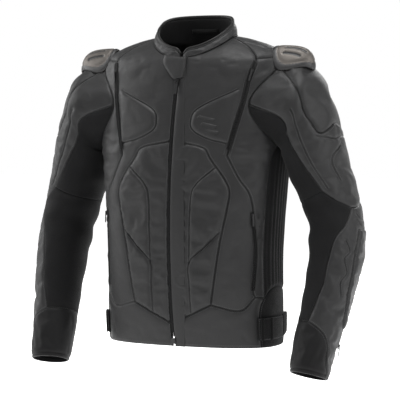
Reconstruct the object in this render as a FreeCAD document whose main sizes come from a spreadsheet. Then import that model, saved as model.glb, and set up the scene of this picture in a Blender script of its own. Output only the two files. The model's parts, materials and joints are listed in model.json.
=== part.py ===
"""Leather riding jacket as an assembly of panels, zips, straps, caps and pads.

Frame: millimetres, +Z up, the wearer faces -Y and the wearer's left is +X.
The origin is the centre of the neck opening, level with the collar seam at the shoulders.
"""
import FreeCAD, Part
import math
import os
from FreeCAD import Placement, Rotation, Vector

DIMENSIONS = [
    ("hem_drop", 624.0),
    ("hem_half_width", 184.0),
    ("chest_half_width", 209.0),
    ("neck_half_width", 88.0),
    ("neck_half_depth", 64.0),
    ("neck_front_fall", 45.0),
    ("front_arc_radius", 1100.0),
    ("front_arc_centre_y", 977.0),
    ("front_arc_drop", 390.0),
    ("armhole_drop", 134.0),
    ("armhole_half_height", 98.0),
    ("armhole_spread_deg", 47.0),
    ("side_turn_deg", 22.0),
    ("sleeve_end_drop", 667.0),
    ("collar_side_rise", 22.0),
    ("collar_back_rise", 43.0),
    ("collar_front_fall", 27.0),
    ("collar_wall", 2.2),
    ("panel_depth", 2.0),
    ("panel_thickness", 3.0),
    ("seam_gap", 0.6),
    ("shoulder_x", 202.0),
    ("shoulder_y", 5.0),
    ("shoulder_drop", 85.0),
    ("elbow_x", 303.0),
    ("elbow_y", 14.0),
    ("elbow_drop", 385.0),
    ("elbow_relief_deg", 28.0),
    ("tape_thickness", 0.8),
    ("teeth_height", 1.2),
    ("slider_clearance", 0.4),
    ("slider_width", 9.0),
    ("slider_length", 14.0),
    ("slider_plate", 2.0),
    ("bridge_width", 3.0),
    ("bridge_length", 5.0),
    ("bridge_height", 5.0),
    ("bridge_hole_radius", 1.25),
    ("pull_pin_radius", 1.2),
    ("pull_width", 8.0),
    ("pull_length", 30.0),
    ("pull_thickness", 1.4),
    ("pull_window_width", 4.0),
    ("pull_window_length", 7.0),
    ("pull_head_bar", 0.9),
    ("zip_box_width", 10.0),
    ("zip_box_length", 11.0),
    ("zip_box_thickness", 3.5),
    ("loop_width", 60.0),
    ("loop_depth", 9.0),
    ("loop_height", 10.0),
    ("loop_wall", 1.6),
    ("small_slider_width", 6.0),
    ("small_slider_length", 10.0),
    ("small_pull_length", 20.0),
]

MAIN_ZIP_TOP = -58.0
MAIN_ZIP_FOOT = -606.0
MAIN_SLIDER_HEIGHT = -95.0
CUFF_ZIP_ANGLE = -28.0
SIDE_NAMES = ((1, "left"), (-1, "right"))

doc = FreeCAD.newDocument("riding_jacket")
sheet = doc.addObject("Spreadsheet::Sheet", "Dimensions")
for row, (alias, value) in enumerate(DIMENSIONS, start=1):
    sheet.set("A%d" % row, alias)
    sheet.set("B%d" % row, str(value))
    sheet.setAlias("B%d" % row, alias)
doc.recompute()

nodes = []


def size(alias):
    """The value of one driving dimension."""
    return float(sheet.get(alias))


# ---------------------------------------------------------------- the jacket's form

def torso_stations():
    """Level sections of the torso from hem to neck.

    Each is height, half width, back depth, squareness, front fall, forward shift.
    """
    hem = size("hem_half_width")
    chest = size("chest_half_width")
    neck = size("neck_half_width")
    return [
        (-size("hem_drop"), hem, 120.0, 2.5, 0.0, 0.0),
        (-540.0, hem, 114.0, 2.5, 0.0, 0.0),
        (-430.0, hem - 2.0, 120.0, 2.5, 0.0, 0.0),
        (-320.0, hem + 5.0, 128.0, 2.5, 0.0, 0.0),
        (-230.0, chest - 12.0, 134.0, 2.5, 0.0, 0.0),
        (-150.0, chest - 3.0, 130.0, 2.4, 4.0, 2.0),
        (-100.0, chest, 112.0, 2.4, 10.0, 4.0),
        (-60.0, chest - 5.0, 98.0, 2.35, 18.0, 6.0),
        (-36.0, chest - 19.0, 86.0, 2.3, 26.0, 8.0),
        (-24.0, chest - 41.0, 80.0, 2.25, 31.0, 8.0),
        (-16.0, neck + 58.0, 76.0, 2.2, 35.0, 8.0),
        (-8.0, neck + 32.0, 70.0, 2.1, 40.0, 7.0),
        (0.0, neck, size("neck_half_depth"), 2.0, size("neck_front_fall"), 5.0),
    ]


def sleeve_stations():
    """Rings of the left sleeve from shoulder to cuff.

    Each is the centre x, y, z, the tilt of its outer side, its two radii and its forward lean.
    """
    return [
        (230.0, 6.0, -155.0, 69.0, 89.0, 86.0, 0.0),
        (245.0, 7.0, -186.0, 50.0, 72.0, 82.0, 0.0),
        (254.0, 8.0, -218.0, 26.0, 62.0, 80.0, 0.0),
        (267.0, 10.0, -262.0, 22.0, 57.0, 76.0, 0.0),
        (285.0, 16.0, -315.0, 19.0, 54.0, 71.0, 3.0),
        (302.0, 16.0, -375.0, 9.0, 52.0, 67.0, 9.0),
        (308.0, 0.0, -435.0, 1.0, 50.0, 63.0, 17.0),
        (304.0, -25.0, -500.0, -5.0, 46.0, 57.0, 20.0),
        (298.0, -50.0, -560.0, -7.0, 43.0, 52.0, 20.0),
        (292.0, -74.0, -615.0, -8.0, 40.0, 47.0, 18.0),
        (288.0, -95.0, -size("sleeve_end_drop"), -6.0, 37.0, 43.0, 17.0),
    ]


TORSO = torso_stations()
SLEEVE = sleeve_stations()
TORSO_TOP = len(TORSO) - 1
SLEEVE_END = len(SLEEVE)


def blend_row(position, rows):
    """Smooth blend of neighbouring stations, straight past both ends."""
    index = min(max(int(math.floor(position)), 0), len(rows) - 2)
    part = position - index
    here = rows[index]
    after = rows[index + 1]
    if index == 0:
        before = [2 * a - b for a, b in zip(here, after)]
    else:
        before = rows[index - 1]
    if index == len(rows) - 2:
        beyond = [2 * b - a for a, b in zip(here, after)]
    else:
        beyond = rows[index + 2]
    result = []
    for p0, p1, p2, p3 in zip(before, here, after, beyond):
        linear = p2 - p0
        square = 2 * p0 - 5 * p1 + 4 * p2 - p3
        cube = 3 * p1 - p0 - 3 * p2 + p3
        result.append(0.5 * (2 * p1 + linear * part + square * part ** 2 + cube * part ** 3))
    return result


def solve(function, low, high):
    """The argument between low and high at which a rising function is zero."""
    for _ in range(40):
        middle = 0.5 * (low + high)
        if function(middle) < 0:
            low = middle
        else:
            high = middle
    return 0.5 * (low + high)


def station_at(height):
    """Torso station number at a height."""
    return solve(lambda v: blend_row(v, TORSO)[0] - height, 0.0, float(TORSO_TOP))


def front_y(height):
    """The closed front's profile in the middle plane, one long arc."""
    radius = size("front_arc_radius")
    rise = height + size("front_arc_drop")
    return size("front_arc_centre_y") - math.sqrt(radius ** 2 - rise ** 2)


def signed_power(value, exponent):
    return math.copysign(abs(value) ** exponent, value)


def torso(angle, station):
    """Torso skin: angle in degrees from +X (front is -90), station from hem to neck."""
    height, half_width, back, square, fall, shift = blend_row(station, TORSO)
    across = signed_power(math.cos(math.radians(angle)), 2.0 / square)
    fore = signed_power(math.sin(math.radians(angle)), 2.0 / square)
    drop = fall * max(0.0, -math.sin(math.radians(angle))) ** 1.5
    reach = -front_y(height - fall) if fore < 0 else back
    return Vector(half_width * across, reach * fore + shift * (1 - abs(fore)), height - drop)


def angle_at_x(x, station):
    """Angle on the front of the torso at which the skin has this x."""
    row = blend_row(station, TORSO)
    ratio = min(abs(x) / row[1], 0.999)
    return -math.degrees(math.acos(ratio ** (row[3] / 2.0)))


def armhole(angle):
    """Armhole curve: angle 0 is the top, 90 the front, 180 the underarm."""
    spread = size("armhole_spread_deg")
    if math.sin(math.radians(angle)) < 0:
        spread -= 1.0
    side = abs(math.sin(math.radians(angle))) ** 1.4
    height = -size("armhole_drop") + size("armhole_half_height") * math.cos(math.radians(angle))
    turn = -spread * math.copysign(side, math.sin(math.radians(angle)))
    return turn, station_at(height)


def ring_point(ring, angle):
    x, y, z, tilt, radius_out, radius_fore, lean = ring
    outward = Vector(math.cos(math.radians(tilt)), 0, math.sin(math.radians(tilt)))
    along = Vector(math.sin(math.radians(tilt)), 0, -math.cos(math.radians(tilt)))
    fore = Vector(0, -math.cos(math.radians(lean)), 0) - along * math.sin(math.radians(lean))
    a = math.radians(angle)
    return Vector(x, y, z) + outward * (radius_out * math.cos(a)) + fore * (radius_fore * math.sin(a))


armhole_points = {}


def sleeve_knot(number, angle):
    """Point of one ring of the left sleeve, ring 0 being the armhole curve."""
    number = min(max(number, 0), SLEEVE_END)
    if number > 0:
        return ring_point(SLEEVE[number - 1], angle)
    if angle not in armhole_points:
        armhole_points[angle] = torso(*armhole(angle))
    return armhole_points[angle]


def sleeve(angle, position):
    """Skin of the left sleeve: angle 0 outer, 90 front, 180 inner; position counts rings."""
    index = min(max(int(math.floor(position)), 0), SLEEVE_END - 1)
    part = position - index
    start = sleeve_knot(index, angle)
    end = sleeve_knot(index + 1, angle)
    leave = (end - sleeve_knot(index - 1, angle)) * 0.5
    arrive = (sleeve_knot(index + 2, angle) - start) * 0.5
    if index == 0:
        top = max(0.0, math.cos(math.radians(angle)))
        leave = (end - start) * (1 - top) + Vector(92.0, 0, -6.0) * top
    if index == SLEEVE_END - 1:
        arrive = end - start
    return (start * (2 * part ** 3 - 3 * part ** 2 + 1) + leave * (part ** 3 - 2 * part ** 2 + part)
            + end * (3 * part ** 2 - 2 * part ** 3) + arrive * (part ** 3 - part ** 2))


def outward_normal(surface, a, b):
    step = 0.02
    side = surface(a + step * 10, b) - surface(a - step * 10, b)
    rise = surface(a, b + step) - surface(a, b - step)
    return side.cross(rise).normalize()


# ---------------------------------------------------------------- solids from the form

def patch_solid(surface, chart, across, along, depth, thickness):
    """A panel: the part of a skin covered by a chart, set in by depth and made thick."""
    outer = []
    inner = []
    for i in range(across + 1):
        outer_line = []
        inner_line = []
        for j in range(along + 1):
            a, b = chart(i / across, j / along)
            point = surface(a, b)
            normal = outward_normal(surface, a, b)
            outer_line.append(point - normal * depth)
            inner_line.append(point - normal * (depth + thickness))
        outer.append(outer_line)
        inner.append(inner_line)
    skins = []
    for grid in (outer, inner):
        skin = Part.BSplineSurface()
        skin.interpolate(grid)
        skins.append(skin)
    faces = [skin.toShape() for skin in skins]
    for end in (0.0, 1.0):
        for pair in ([skin.uIso(end) for skin in skins], [skin.vIso(end) for skin in skins]):
            faces.append(Part.makeRuledSurface(pair[0].toShape(), pair[1].toShape(), 1))
    compound = Part.Compound(faces)
    compound.sewShape()
    solid = Part.Solid(compound.Shells[0])
    if solid.Volume < 0:
        solid.reverse()
    return solid


def mirrored(shape, side):
    """The shape itself on the left, its mirror image on the right."""
    if side > 0:
        return shape
    return shape.mirror(Vector(0, 0, 0), Vector(1, 0, 0))


def keep(name, feature):
    """Label a finished object and list it for export."""
    feature.Label = name
    nodes.append(feature)
    return feature


def soft_piece(name, shape):
    """A sewn piece whose outline follows the jacket's curved skin."""
    feature = doc.addObject("Part::Feature", name)
    feature.Shape = shape
    feature.Placement = Placement()
    return keep(name, feature)


def both_sides(name, shape):
    """The same sewn piece on the left and mirrored on the right."""
    for side, word in SIDE_NAMES:
        soft_piece("%s_%s" % (name, word), mirrored(shape, side))


def band(low_angle, high_angle, low_height, high_height):
    """Chart of a torso panel between two side edges, each an angle or a function of station."""
    def edge(limit, station):
        return limit(station) if callable(limit) else limit

    def chart(p, q):
        station = station_at(low_height + (high_height - low_height) * q)
        low = edge(low_angle, station)
        high = edge(high_angle, station)
        return low + (high - low) * p, station
    return chart


def at_x(x):
    """Panel edge at a fixed distance from the middle plane."""
    return lambda station: angle_at_x(x, station)


def armhole_edge(station):
    """Angle from +X at which a panel stops short of the armhole and of the side panel."""
    height = blend_row(station, TORSO)[0]
    ratio = min(1.0, abs(height + size("armhole_drop")) / size("armhole_half_height"))
    side = size("armhole_spread_deg") * (1 - ratio ** 2) ** 0.7
    return math.hypot(side, size("side_turn_deg") + size("seam_gap"))


def torso_panel(chart, across, along):
    return patch_solid(torso, chart, across, along, size("panel_depth"), size("panel_thickness"))


def torso_panels():
    """Leather and stretch panels around the body, each apart from the next by a seam gap."""
    gap = size("seam_gap")
    zip_edge = 10.0
    seam_x = 112.0
    hem_top = -556.0
    hem = -size("hem_drop") + 1.0
    waist_top = -246.0
    chest_top = -56.0
    side_turn = size("side_turn_deg")
    underarm = -238.0
    both_sides("chest_panel", torso_panel(
        band(at_x(zip_edge), at_x(seam_x), waist_top + gap, chest_top), 5, 6))
    both_sides("abdomen_panel", torso_panel(
        band(at_x(zip_edge), at_x(seam_x), hem_top + gap, waist_top - gap), 5, 7))
    both_sides("hem_front", torso_panel(
        band(at_x(zip_edge), -side_turn - gap, hem, hem_top - gap), 8, 3))
    both_sides("side_front", torso_panel(
        band(at_x(seam_x + 1.5), lambda v: -armhole_edge(v), hem_top + gap, chest_top), 5, 14))
    both_sides("side_stretch", torso_panel(
        band(-side_turn + gap, side_turn - gap, hem_top + gap, underarm), 5, 7))
    both_sides("front_yoke", torso_panel(
        yoke_chart(chest_top + gap, at_x(zip_edge), lambda station: -8.0 - gap), 8, 5))
    soft_piece("back_yoke", torso_panel(
        yoke_chart(chest_top + gap, lambda station: -8.0, lambda station: 188.0), 16, 5))
    soft_piece("back_panel_upper", torso_panel(
        band(armhole_edge, lambda v: 180.0 - armhole_edge(v), waist_top + gap, chest_top), 14, 8))
    soft_piece("back_panel_lower", torso_panel(
        band(side_turn + gap, 180.0 - side_turn - gap, hem_top + gap, waist_top - gap), 12, 7))
    soft_piece("hem_back", torso_panel(
        band(-side_turn + gap, 180.0 + side_turn - gap, hem, hem_top - gap), 16, 3))


def yoke_chart(low_height, first_edge, last_edge):
    """Shoulder yoke between two edges; its lower edge lifts over the sleeve's head."""
    low_station = station_at(low_height)
    shoulder_station = station_at(-30.0)
    neck_station = float(TORSO_TOP) - 0.1

    def chart(p, q):
        middle = first_edge(neck_station) * (1 - p) + last_edge(neck_station) * p
        shoulder = abs(math.cos(math.radians(middle))) ** 1.5
        base = low_station + (shoulder_station - low_station) * shoulder
        station = base + (neck_station - base) * q
        return first_edge(station) * (1 - p) + last_edge(station) * p, station
    return chart


# ---------------------------------------------------------------- collar

def collar_rim(angle):
    """Height of the collar's top edge around the neck."""
    fore = math.sin(math.radians(angle))
    side = size("collar_side_rise")
    front = -size("collar_front_fall")
    back = size("collar_back_rise")
    return side + 0.5 * (back - front) * fore + (0.5 * (back + front) - side) * fore ** 2


def collar(angle, rise):
    """Outer skin of the stand collar, rise 0 at the neck seam and 1 at the rim."""
    foot = torso(angle, float(TORSO_TOP))
    fore = math.sin(math.radians(angle))
    lean = 1.0 - 0.06 * rise
    height = foot.z + (collar_rim(angle) - foot.z) * rise
    middle = 5.0 * (1 - abs(fore))
    return Vector(foot.x * lean, (foot.y - middle) * lean + middle, height)


def collar_pieces():
    """Stand collar: leather outside, soft lining inside and a bound rim."""
    wall = size("collar_wall")
    start = -88.4
    turn = 356.8

    def stand(p, q):
        return start + turn * p, 0.04 + 0.9 * q

    def rim(p, q):
        return start + turn * p, 0.955 + 0.09 * q

    soft_piece("collar_outer", patch_solid(collar, stand, 24, 3, 0.0, wall))
    soft_piece("collar_lining", patch_solid(collar, stand, 24, 3, wall + 0.4, wall))
    soft_piece("collar_binding", patch_solid(collar, rim, 24, 3, -0.3, 2 * wall + 1.0))


# ---------------------------------------------------------------- zips

class Arc:
    """The arc that a zip follows on the skin, from its closed end to its open end."""

    def __init__(self, first, middle, last):
        circle = Part.Circle(first, middle, last)
        self.centre = circle.Center
        self.radius = circle.Radius
        self.start = (first - self.centre).normalize()
        finish = (last - self.centre).normalize()
        self.axis = self.start.cross(finish).normalize()
        self.sweep = math.degrees(math.acos(self.start.dot(finish)))

    def sector_placement(self, offset, turn):
        """Places a cylinder sector that begins this far along the arc, in degrees."""
        spin = Rotation(self.axis, turn)
        start = spin.multVec(self.start)
        side = self.axis.cross(start)
        return Placement(self.centre + self.axis * offset, Rotation(start, side, self.axis, "XZY"))

    def slider_placement(self, lift, turn):
        """Places a slider that faces outward with its own +Y against the travel."""
        outward = Rotation(self.axis, turn).multVec(self.start)
        up = outward.cross(self.axis)
        place = self.centre + outward * (self.radius + lift)
        return Placement(place, Rotation(self.axis, up, outward, "ZYX"))

    def mirror_right(self):
        """The same arc on the right-hand side."""
        other = Arc.__new__(Arc)
        other.centre = Vector(-self.centre.x, self.centre.y, self.centre.z)
        other.radius = self.radius
        other.start = Vector(-self.start.x, self.start.y, self.start.z)
        other.axis = Vector(self.axis.x, -self.axis.y, -self.axis.z)
        other.sweep = self.sweep
        return other


def cylinder(name, arc, radius_text, width, offset, turn, sweep):
    piece = doc.addObject("Part::Cylinder", name)
    piece.setExpression("Radius", radius_text)
    piece.Height = width
    piece.Angle = sweep
    piece.Placement = arc.sector_placement(offset, turn)
    return piece


def ring_strip(name, arc, inner_text, outer_text, width, offset, turn, sweep):
    """A strip of the arc's width whose faces are two concentric cylinders."""
    cut = doc.addObject("Part::Cut", name)
    cut.Base = cylinder(name + "_outer", arc, outer_text, width, offset, turn, sweep)
    cut.Tool = cylinder(name + "_inner", arc, inner_text, width, offset, turn, sweep)
    return cut


def zip_chain(name, arc, lift, tape_width, teeth_width, tape_offset, teeth_offset, tape_overrun):
    """Tape and teeth, one fused piece that follows the arc."""
    base = "%.4f mm" % (arc.radius + lift)
    tape = ring_strip(name + "_tape", arc, base + " - Dimensions.tape_thickness * 1 mm", base,
                      tape_width, tape_offset, -tape_overrun, arc.sweep + 2 * tape_overrun)
    teeth = ring_strip(name + "_teeth", arc, base + " - Dimensions.tape_thickness * 0.5 mm",
                       base + " + Dimensions.teeth_height * 1 mm", teeth_width, teeth_offset, 0.0,
                       arc.sweep)
    chain = doc.addObject("Part::Fuse", name)
    chain.Base = tape
    chain.Tool = teeth
    return keep(name, chain)


def origin_plane(body, role):
    for plane in body.Origin.OriginFeatures:
        if plane.Role == role:
            return plane
    raise ValueError(role)


def sketch_on(body, name, role):
    sketch = body.newObject("Sketcher::SketchObject", name)
    sketch.AttachmentSupport = [(origin_plane(body, role), "")]
    sketch.MapMode = "FlatFace"
    return sketch


def outline(sketch, points):
    """A closed outline of straight edges, with its corners joined."""
    count = len(points)
    for i in range(count):
        start = Vector(points[i][0], points[i][1], 0)
        end = Vector(points[(i + 1) % count][0], points[(i + 1) % count][1], 0)
        sketch.addGeometry(Part.LineSegment(start, end), False)


def pad(body, sketch, name, length_text, symmetric):
    feature = body.newObject("PartDesign::Pad", name)
    feature.Profile = sketch
    feature.setExpression("Length", length_text)
    feature.Midplane = symmetric
    return feature


def slider_plate(body, name, width, length):
    """Tapered face plate of a slider, narrow at the foot."""
    sketch = sketch_on(body, name + "_plate_outline", "XY_Plane")
    narrow = 0.7 * width
    outline(sketch, [(-narrow / 2, -length / 2), (narrow / 2, -length / 2),
                     (width / 2, length / 6), (width / 2, length / 2),
                     (-width / 2, length / 2), (-width / 2, length / 6)])
    return pad(body, sketch, name + "_plate", "Dimensions.slider_plate * 1 mm", False)


def main_slider(arc, turn):
    """Main slider: face plate and a bridge with a cross hole for the pull's pin."""
    body = doc.addObject("PartDesign::Body", "main_zip_slider")
    slider_plate(body, "main", size("slider_width"), size("slider_length"))
    sketch = sketch_on(body, "bridge_outline", "YZ_Plane")
    half = size("bridge_length") / 2
    foot = size("slider_plate") * 0.5
    top = size("slider_plate") + size("bridge_height")
    outline(sketch, [(-half, foot), (half, foot), (half, top - 1.5), (half - 1.0, top),
                     (-half + 1.0, top), (-half, top - 1.5)])
    hole = Part.Circle(Vector(0, pin_height(), 0), Vector(0, 0, 1), size("bridge_hole_radius"))
    sketch.addGeometry(hole, False)
    pad(body, sketch, "bridge", "Dimensions.bridge_width * 1 mm", True)
    body.Placement = arc.slider_placement(slider_lift(), turn)
    return keep("main_zip_slider", body)


def slider_lift():
    """How far a slider's face plate stands above the arc of the tape."""
    return size("teeth_height") + size("slider_clearance")


def pin_height():
    """Height of the pull's pin above the foot of the slider's plate."""
    return size("slider_plate") + 0.6 * size("bridge_height")


def pull_tab(arc, turn):
    """Pull tab with a window that straddles the bridge and a pin across the window."""
    tab = doc.addObject("Part::Box", "pull_plate")
    tab.setExpression("Length", "Dimensions.pull_width * 1 mm")
    tab.setExpression("Width", "Dimensions.pull_length * 1 mm")
    tab.setExpression("Height", "Dimensions.pull_thickness * 1 mm")
    head = 0.5 * size("pull_window_length") + size("pull_head_bar")
    tab.Placement.Base = Vector(-size("pull_width") / 2, head - size("pull_length"),
                                -size("pull_thickness") / 2)
    window = doc.addObject("Part::Box", "pull_window")
    window.setExpression("Length", "Dimensions.pull_window_width * 1 mm")
    window.setExpression("Width", "Dimensions.pull_window_length * 1 mm")
    window.Height = 4 * size("pull_thickness")
    window.Placement.Base = Vector(-size("pull_window_width") / 2, -size("pull_window_length") / 2,
                                   -2 * size("pull_thickness"))
    frame = doc.addObject("Part::Cut", "pull_frame")
    frame.Base = tab
    frame.Tool = window
    pin = doc.addObject("Part::Cylinder", "pull_pin")
    pin.setExpression("Radius", "Dimensions.pull_pin_radius * 1 mm")
    pin.Height = size("pull_window_width") + 2.0
    pin.Placement = Placement(Vector(-pin.Height.Value / 2, 0, 0), Rotation(Vector(0, 1, 0), 90))
    pull = doc.addObject("Part::Fuse", "main_zip_pull")
    pull.Base = frame
    pull.Tool = pin
    pull.Placement = arc.slider_placement(slider_lift() + pin_height(), turn)
    return keep("main_zip_pull", pull)


def small_slider(name, arc, lift, turn):
    """Slider of a small zip with its short pull fixed flat along the chain."""
    body = doc.addObject("PartDesign::Body", name)
    slider_plate(body, name, size("small_slider_width"), size("small_slider_length"))
    sketch = sketch_on(body, name + "_pull_outline", "YZ_Plane")
    plate = size("slider_plate")
    reach = size("small_pull_length")
    outline(sketch, [(1.5, plate * 0.5), (3.5, plate * 0.5), (3.5, plate + 2.4),
                     (-reach, plate + 2.4), (-reach, plate + 1.0), (1.5, plate + 1.0)])
    pad(body, sketch, name + "_pull", "Dimensions.small_slider_width * 0.6 mm", True)
    body.Placement = arc.slider_placement(lift + slider_lift(), turn)
    return keep(name, body)


def main_arc():
    """The arc of the front zip in the middle plane."""
    heights = (MAIN_ZIP_TOP, 0.5 * (MAIN_ZIP_TOP + MAIN_ZIP_FOOT), MAIN_ZIP_FOOT)
    return Arc(*[Vector(0, front_y(height), height) for height in heights])


def main_slider_turn():
    """Angle along the front arc from its top to the slider at rest."""
    radius = size("front_arc_radius")
    top = math.asin((MAIN_ZIP_TOP + size("front_arc_drop")) / radius)
    rest = math.asin((MAIN_SLIDER_HEIGHT + size("front_arc_drop")) / radius)
    return math.degrees(top - rest)


def main_zip():
    """Two facing halves, the box at the foot, the slider and its pull."""
    arc = main_arc()
    overrun = math.degrees(7.0 / arc.radius)
    zip_chain("main_zip_left", arc, 0.0, 8.6, 2.2, 0.4, 0.4, overrun)
    zip_chain("main_zip_right", arc, 0.0, 8.6, 2.2, -9.0, -2.6, overrun)
    main_slider(arc, main_slider_turn())
    pull_tab(arc, main_slider_turn())
    box = doc.addObject("Part::Box", "main_zip_box")
    box.setExpression("Length", "Dimensions.zip_box_width * 1 mm")
    box.setExpression("Width", "Dimensions.zip_box_length * 1 mm")
    box.setExpression("Height", "Dimensions.zip_box_thickness * 1 mm")
    past_end = math.degrees((size("zip_box_length") * 0.5 + 1.2) / arc.radius)
    seat = arc.slider_placement(0.3, arc.sweep + past_end)
    corner = Vector(-size("zip_box_width") / 2, -size("zip_box_length") / 2, 0)
    box.Placement = seat.multiply(Placement(corner, Rotation()))
    keep("main_zip_box", box)


def front_chart(x, height):
    """Chart position of the front skin's point at an x and a height, on the left."""
    def miss(station):
        return torso(angle_at_x(x, station), station).z - height
    station = solve(miss, 0.0, float(TORSO_TOP))
    return angle_at_x(x, station), station


def skin_arc(surface, first, last):
    """The outward-bowed arc over a skin between two chart positions."""
    least_bow = 2.0
    middle = [0.5 * (a + b) for a, b in zip(first, last)]
    normal = outward_normal(surface, *middle)
    chord_middle = (surface(*first) + surface(*last)) * 0.5
    bow = max(least_bow, (surface(*middle) - chord_middle).dot(normal))
    return Arc(surface(*first), chord_middle + normal * bow, surface(*last))


def vent_arc():
    return skin_arc(torso, front_chart(153.0, -68.0), front_chart(117.0, -229.0))


def pocket_arc():
    return skin_arc(torso, front_chart(160.0, -352.0), front_chart(160.0, -508.0))


def cuff_arc():
    return skin_arc(sleeve, (CUFF_ZIP_ANGLE, 9.62), (CUFF_ZIP_ANGLE, 10.97))


def side_zips():
    """Vent zip beside each armhole and pocket zip in each side seam."""
    for name, arc, lift in (("vent", vent_arc(), 1.6), ("pocket", pocket_arc(), 0.4)):
        for side, word in SIDE_NAMES:
            own = arc if side > 0 else arc.mirror_right()
            zip_chain("%s_zip_%s" % (name, word), own, lift, 9.0, 3.6, -4.5, -1.8,
                      math.degrees(5.0 / own.radius))
            small_slider("%s_slider_%s" % (name, word), own, lift, math.degrees(8.0 / own.radius))


def cuff_zips():
    """Zip at the outer back of each cuff, lying in the cuff's slit."""
    arc = cuff_arc()
    for side, word in SIDE_NAMES:
        own = arc if side > 0 else arc.mirror_right()
        zip_chain("cuff_zip_%s" % word, own, -1.0, 4.0, 2.4, -2.0, -1.2, 0.0)
        small_slider("cuff_slider_%s" % word, own, -0.4, math.degrees(6.0 / own.radius))


# ---------------------------------------------------------------- sleeves

def sleeve_position_at(angle, slope_sign, gap):
    """Where a sleeve line meets the elbow's cut: level behind, sloping away in front."""
    slope = math.tan(math.radians(size("elbow_relief_deg")))

    def miss(position):
        point = sleeve(angle, position)
        before = size("elbow_y") - point.y
        ahead = 0.5 * (before + math.hypot(before, 16.0))
        return -(point.z + size("elbow_drop") - slope_sign * (gap + slope * ahead))
    return solve(miss, 4.0, 8.5)


def sleeve_start(angle):
    """Upper edge of the sleeve, clear of the armhole and of the swing at the shoulder."""
    return 0.36 + 1.65 * max(0.0, -math.cos(math.radians(angle)))


def sleeve_chart(first_angle, last_angle, begin, finish):
    """Chart of a sleeve panel whose lengthways steps are even in length."""
    samples = 48
    lines = {}

    def line(angle):
        low = begin(angle)
        high = finish(angle)
        positions = [low + (high - low) * k / samples for k in range(samples + 1)]
        points = [sleeve(angle, position) for position in positions]
        lengths = [0.0]
        for before, after in zip(points, points[1:]):
            lengths.append(lengths[-1] + (after - before).Length)
        return positions, lengths

    def chart(p, q):
        angle = round(first_angle + (last_angle - first_angle) * p, 6)
        if angle not in lines:
            lines[angle] = line(angle)
        positions, lengths = lines[angle]
        wanted = q * lengths[-1]
        step = 0
        while step < samples - 1 and lengths[step + 1] < wanted:
            step += 1
        share = (wanted - lengths[step]) / (lengths[step + 1] - lengths[step])
        return angle, positions[step] + (positions[step + 1] - positions[step]) * share
    return chart


def sleeve_panel(first_angle, last_angle, begin, finish, across, along):
    return patch_solid(sleeve, sleeve_chart(first_angle, last_angle, begin, finish), across, along,
                       size("panel_depth"), size("panel_thickness"))


def sleeves():
    """Leather outside and stretch inside for the upper arm and the forearm, and the cuff."""
    cuff_start = 9.5
    seam = 82.0
    gap = 0.5
    slit = 5.0

    def above_elbow(angle):
        return sleeve_position_at(angle, 1, 1.5)

    def below_elbow(angle):
        return sleeve_position_at(angle, -1, 1.5)

    both_sides("upper_sleeve_leather", sleeve_panel(
        -seam + gap, seam - gap, sleeve_start, above_elbow, 10, 8))
    both_sides("upper_sleeve_stretch", sleeve_panel(
        seam + gap, 360 - seam - gap, sleeve_start, above_elbow, 12, 8))
    both_sides("forearm_leather", sleeve_panel(
        -seam + gap, seam - gap, below_elbow, lambda angle: cuff_start - 0.02, 10, 7))
    both_sides("forearm_stretch", sleeve_panel(
        seam + gap, 360 - seam - gap, below_elbow, lambda angle: cuff_start - 0.02, 12, 7))
    both_sides("cuff", sleeve_panel(
        CUFF_ZIP_ANGLE + slit, CUFF_ZIP_ANGLE + 360.0 - slit, lambda angle: cuff_start,
        lambda angle: SLEEVE_END - 0.01, 20, 3))


def elbow_ball(angle, across):
    """Skin of revolution about the elbow's hinge line: angle 0 faces the front."""
    ball = 57.0 * math.sqrt(1 - (across / 43.0) ** 2)
    a = math.radians(angle)
    return Vector(size("elbow_x") + across, size("elbow_y") - ball * math.cos(a),
                  -size("elbow_drop") + ball * math.sin(a))


def elbow_pieces():
    """Stretch gusset in the bend and armour behind the elbow, both turned about the hinge line."""
    def gusset(p, q):
        return -44.0 + 88.0 * p, -32.0 + 64.0 * q

    def armour(p, q):
        return 136.0 + 88.0 * p, -30.0 + 60.0 * q

    both_sides("elbow_gusset", patch_solid(elbow_ball, gusset, 6, 6, 0.0, -2.0))
    both_sides("elbow_armour", patch_solid(elbow_ball, armour, 6, 6, 0.0, -6.0))


# ---------------------------------------------------------------- shoulder caps, pads and trim

def cap_skin(angle, across):
    """Crown of the shoulder cap, about the shoulder's hinge line."""
    swell = 64.0 + 6.5 * (abs(angle - 90.0) / 70.0) ** 2 - 9.0 * (across / 42.0) ** 2
    a = math.radians(angle)
    return Vector(size("shoulder_x") + swell * math.cos(a), size("shoulder_y") + across,
                  -size("shoulder_drop") + swell * math.sin(a))


def shoulder_caps():
    """Moulded metal-faced cap over each shoulder, pointed to the outside."""
    def chart(p, q):
        angle = 22.0 + 86.0 * p
        half = 16.0 + 24.0 * math.sin(math.radians(180.0 * min(1.0, 0.25 + 0.62 * p)))
        return angle, -half + 2 * half * q

    both_sides("shoulder_cap", patch_solid(cap_skin, chart, 7, 6, 0.0, -2.6))


def pads_and_trim():
    """Back pad, pocket bags, connection zip, zip garage and waist straps."""
    soft_piece("back_pad", patch_solid(torso, band(62.0, 118.0, -430.0, -70.0), 6, 8, 6.5, 9.0))
    both_sides("pocket_bag", patch_solid(torso, band(-37.0, -25.0, -508.0, -352.0), 4, 5, 6.0, 1.6))
    soft_piece("rear_connection_zip", patch_solid(
        torso, band(62.0, 118.0, -606.0, -594.0), 8, 2, 6.0, 1.8))
    soft_piece("zip_garage", patch_solid(
        torso, band(lambda v: -180.0 - angle_at_x(30.0, v), at_x(13.0), -62.0, -34.0),
        6, 4, -4.8, 2.0))
    both_sides("waist_strap", patch_solid(torso, band(-44.0, 6.0, -610.0, -562.0), 6, 3, -3.2, 2.4))


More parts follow.
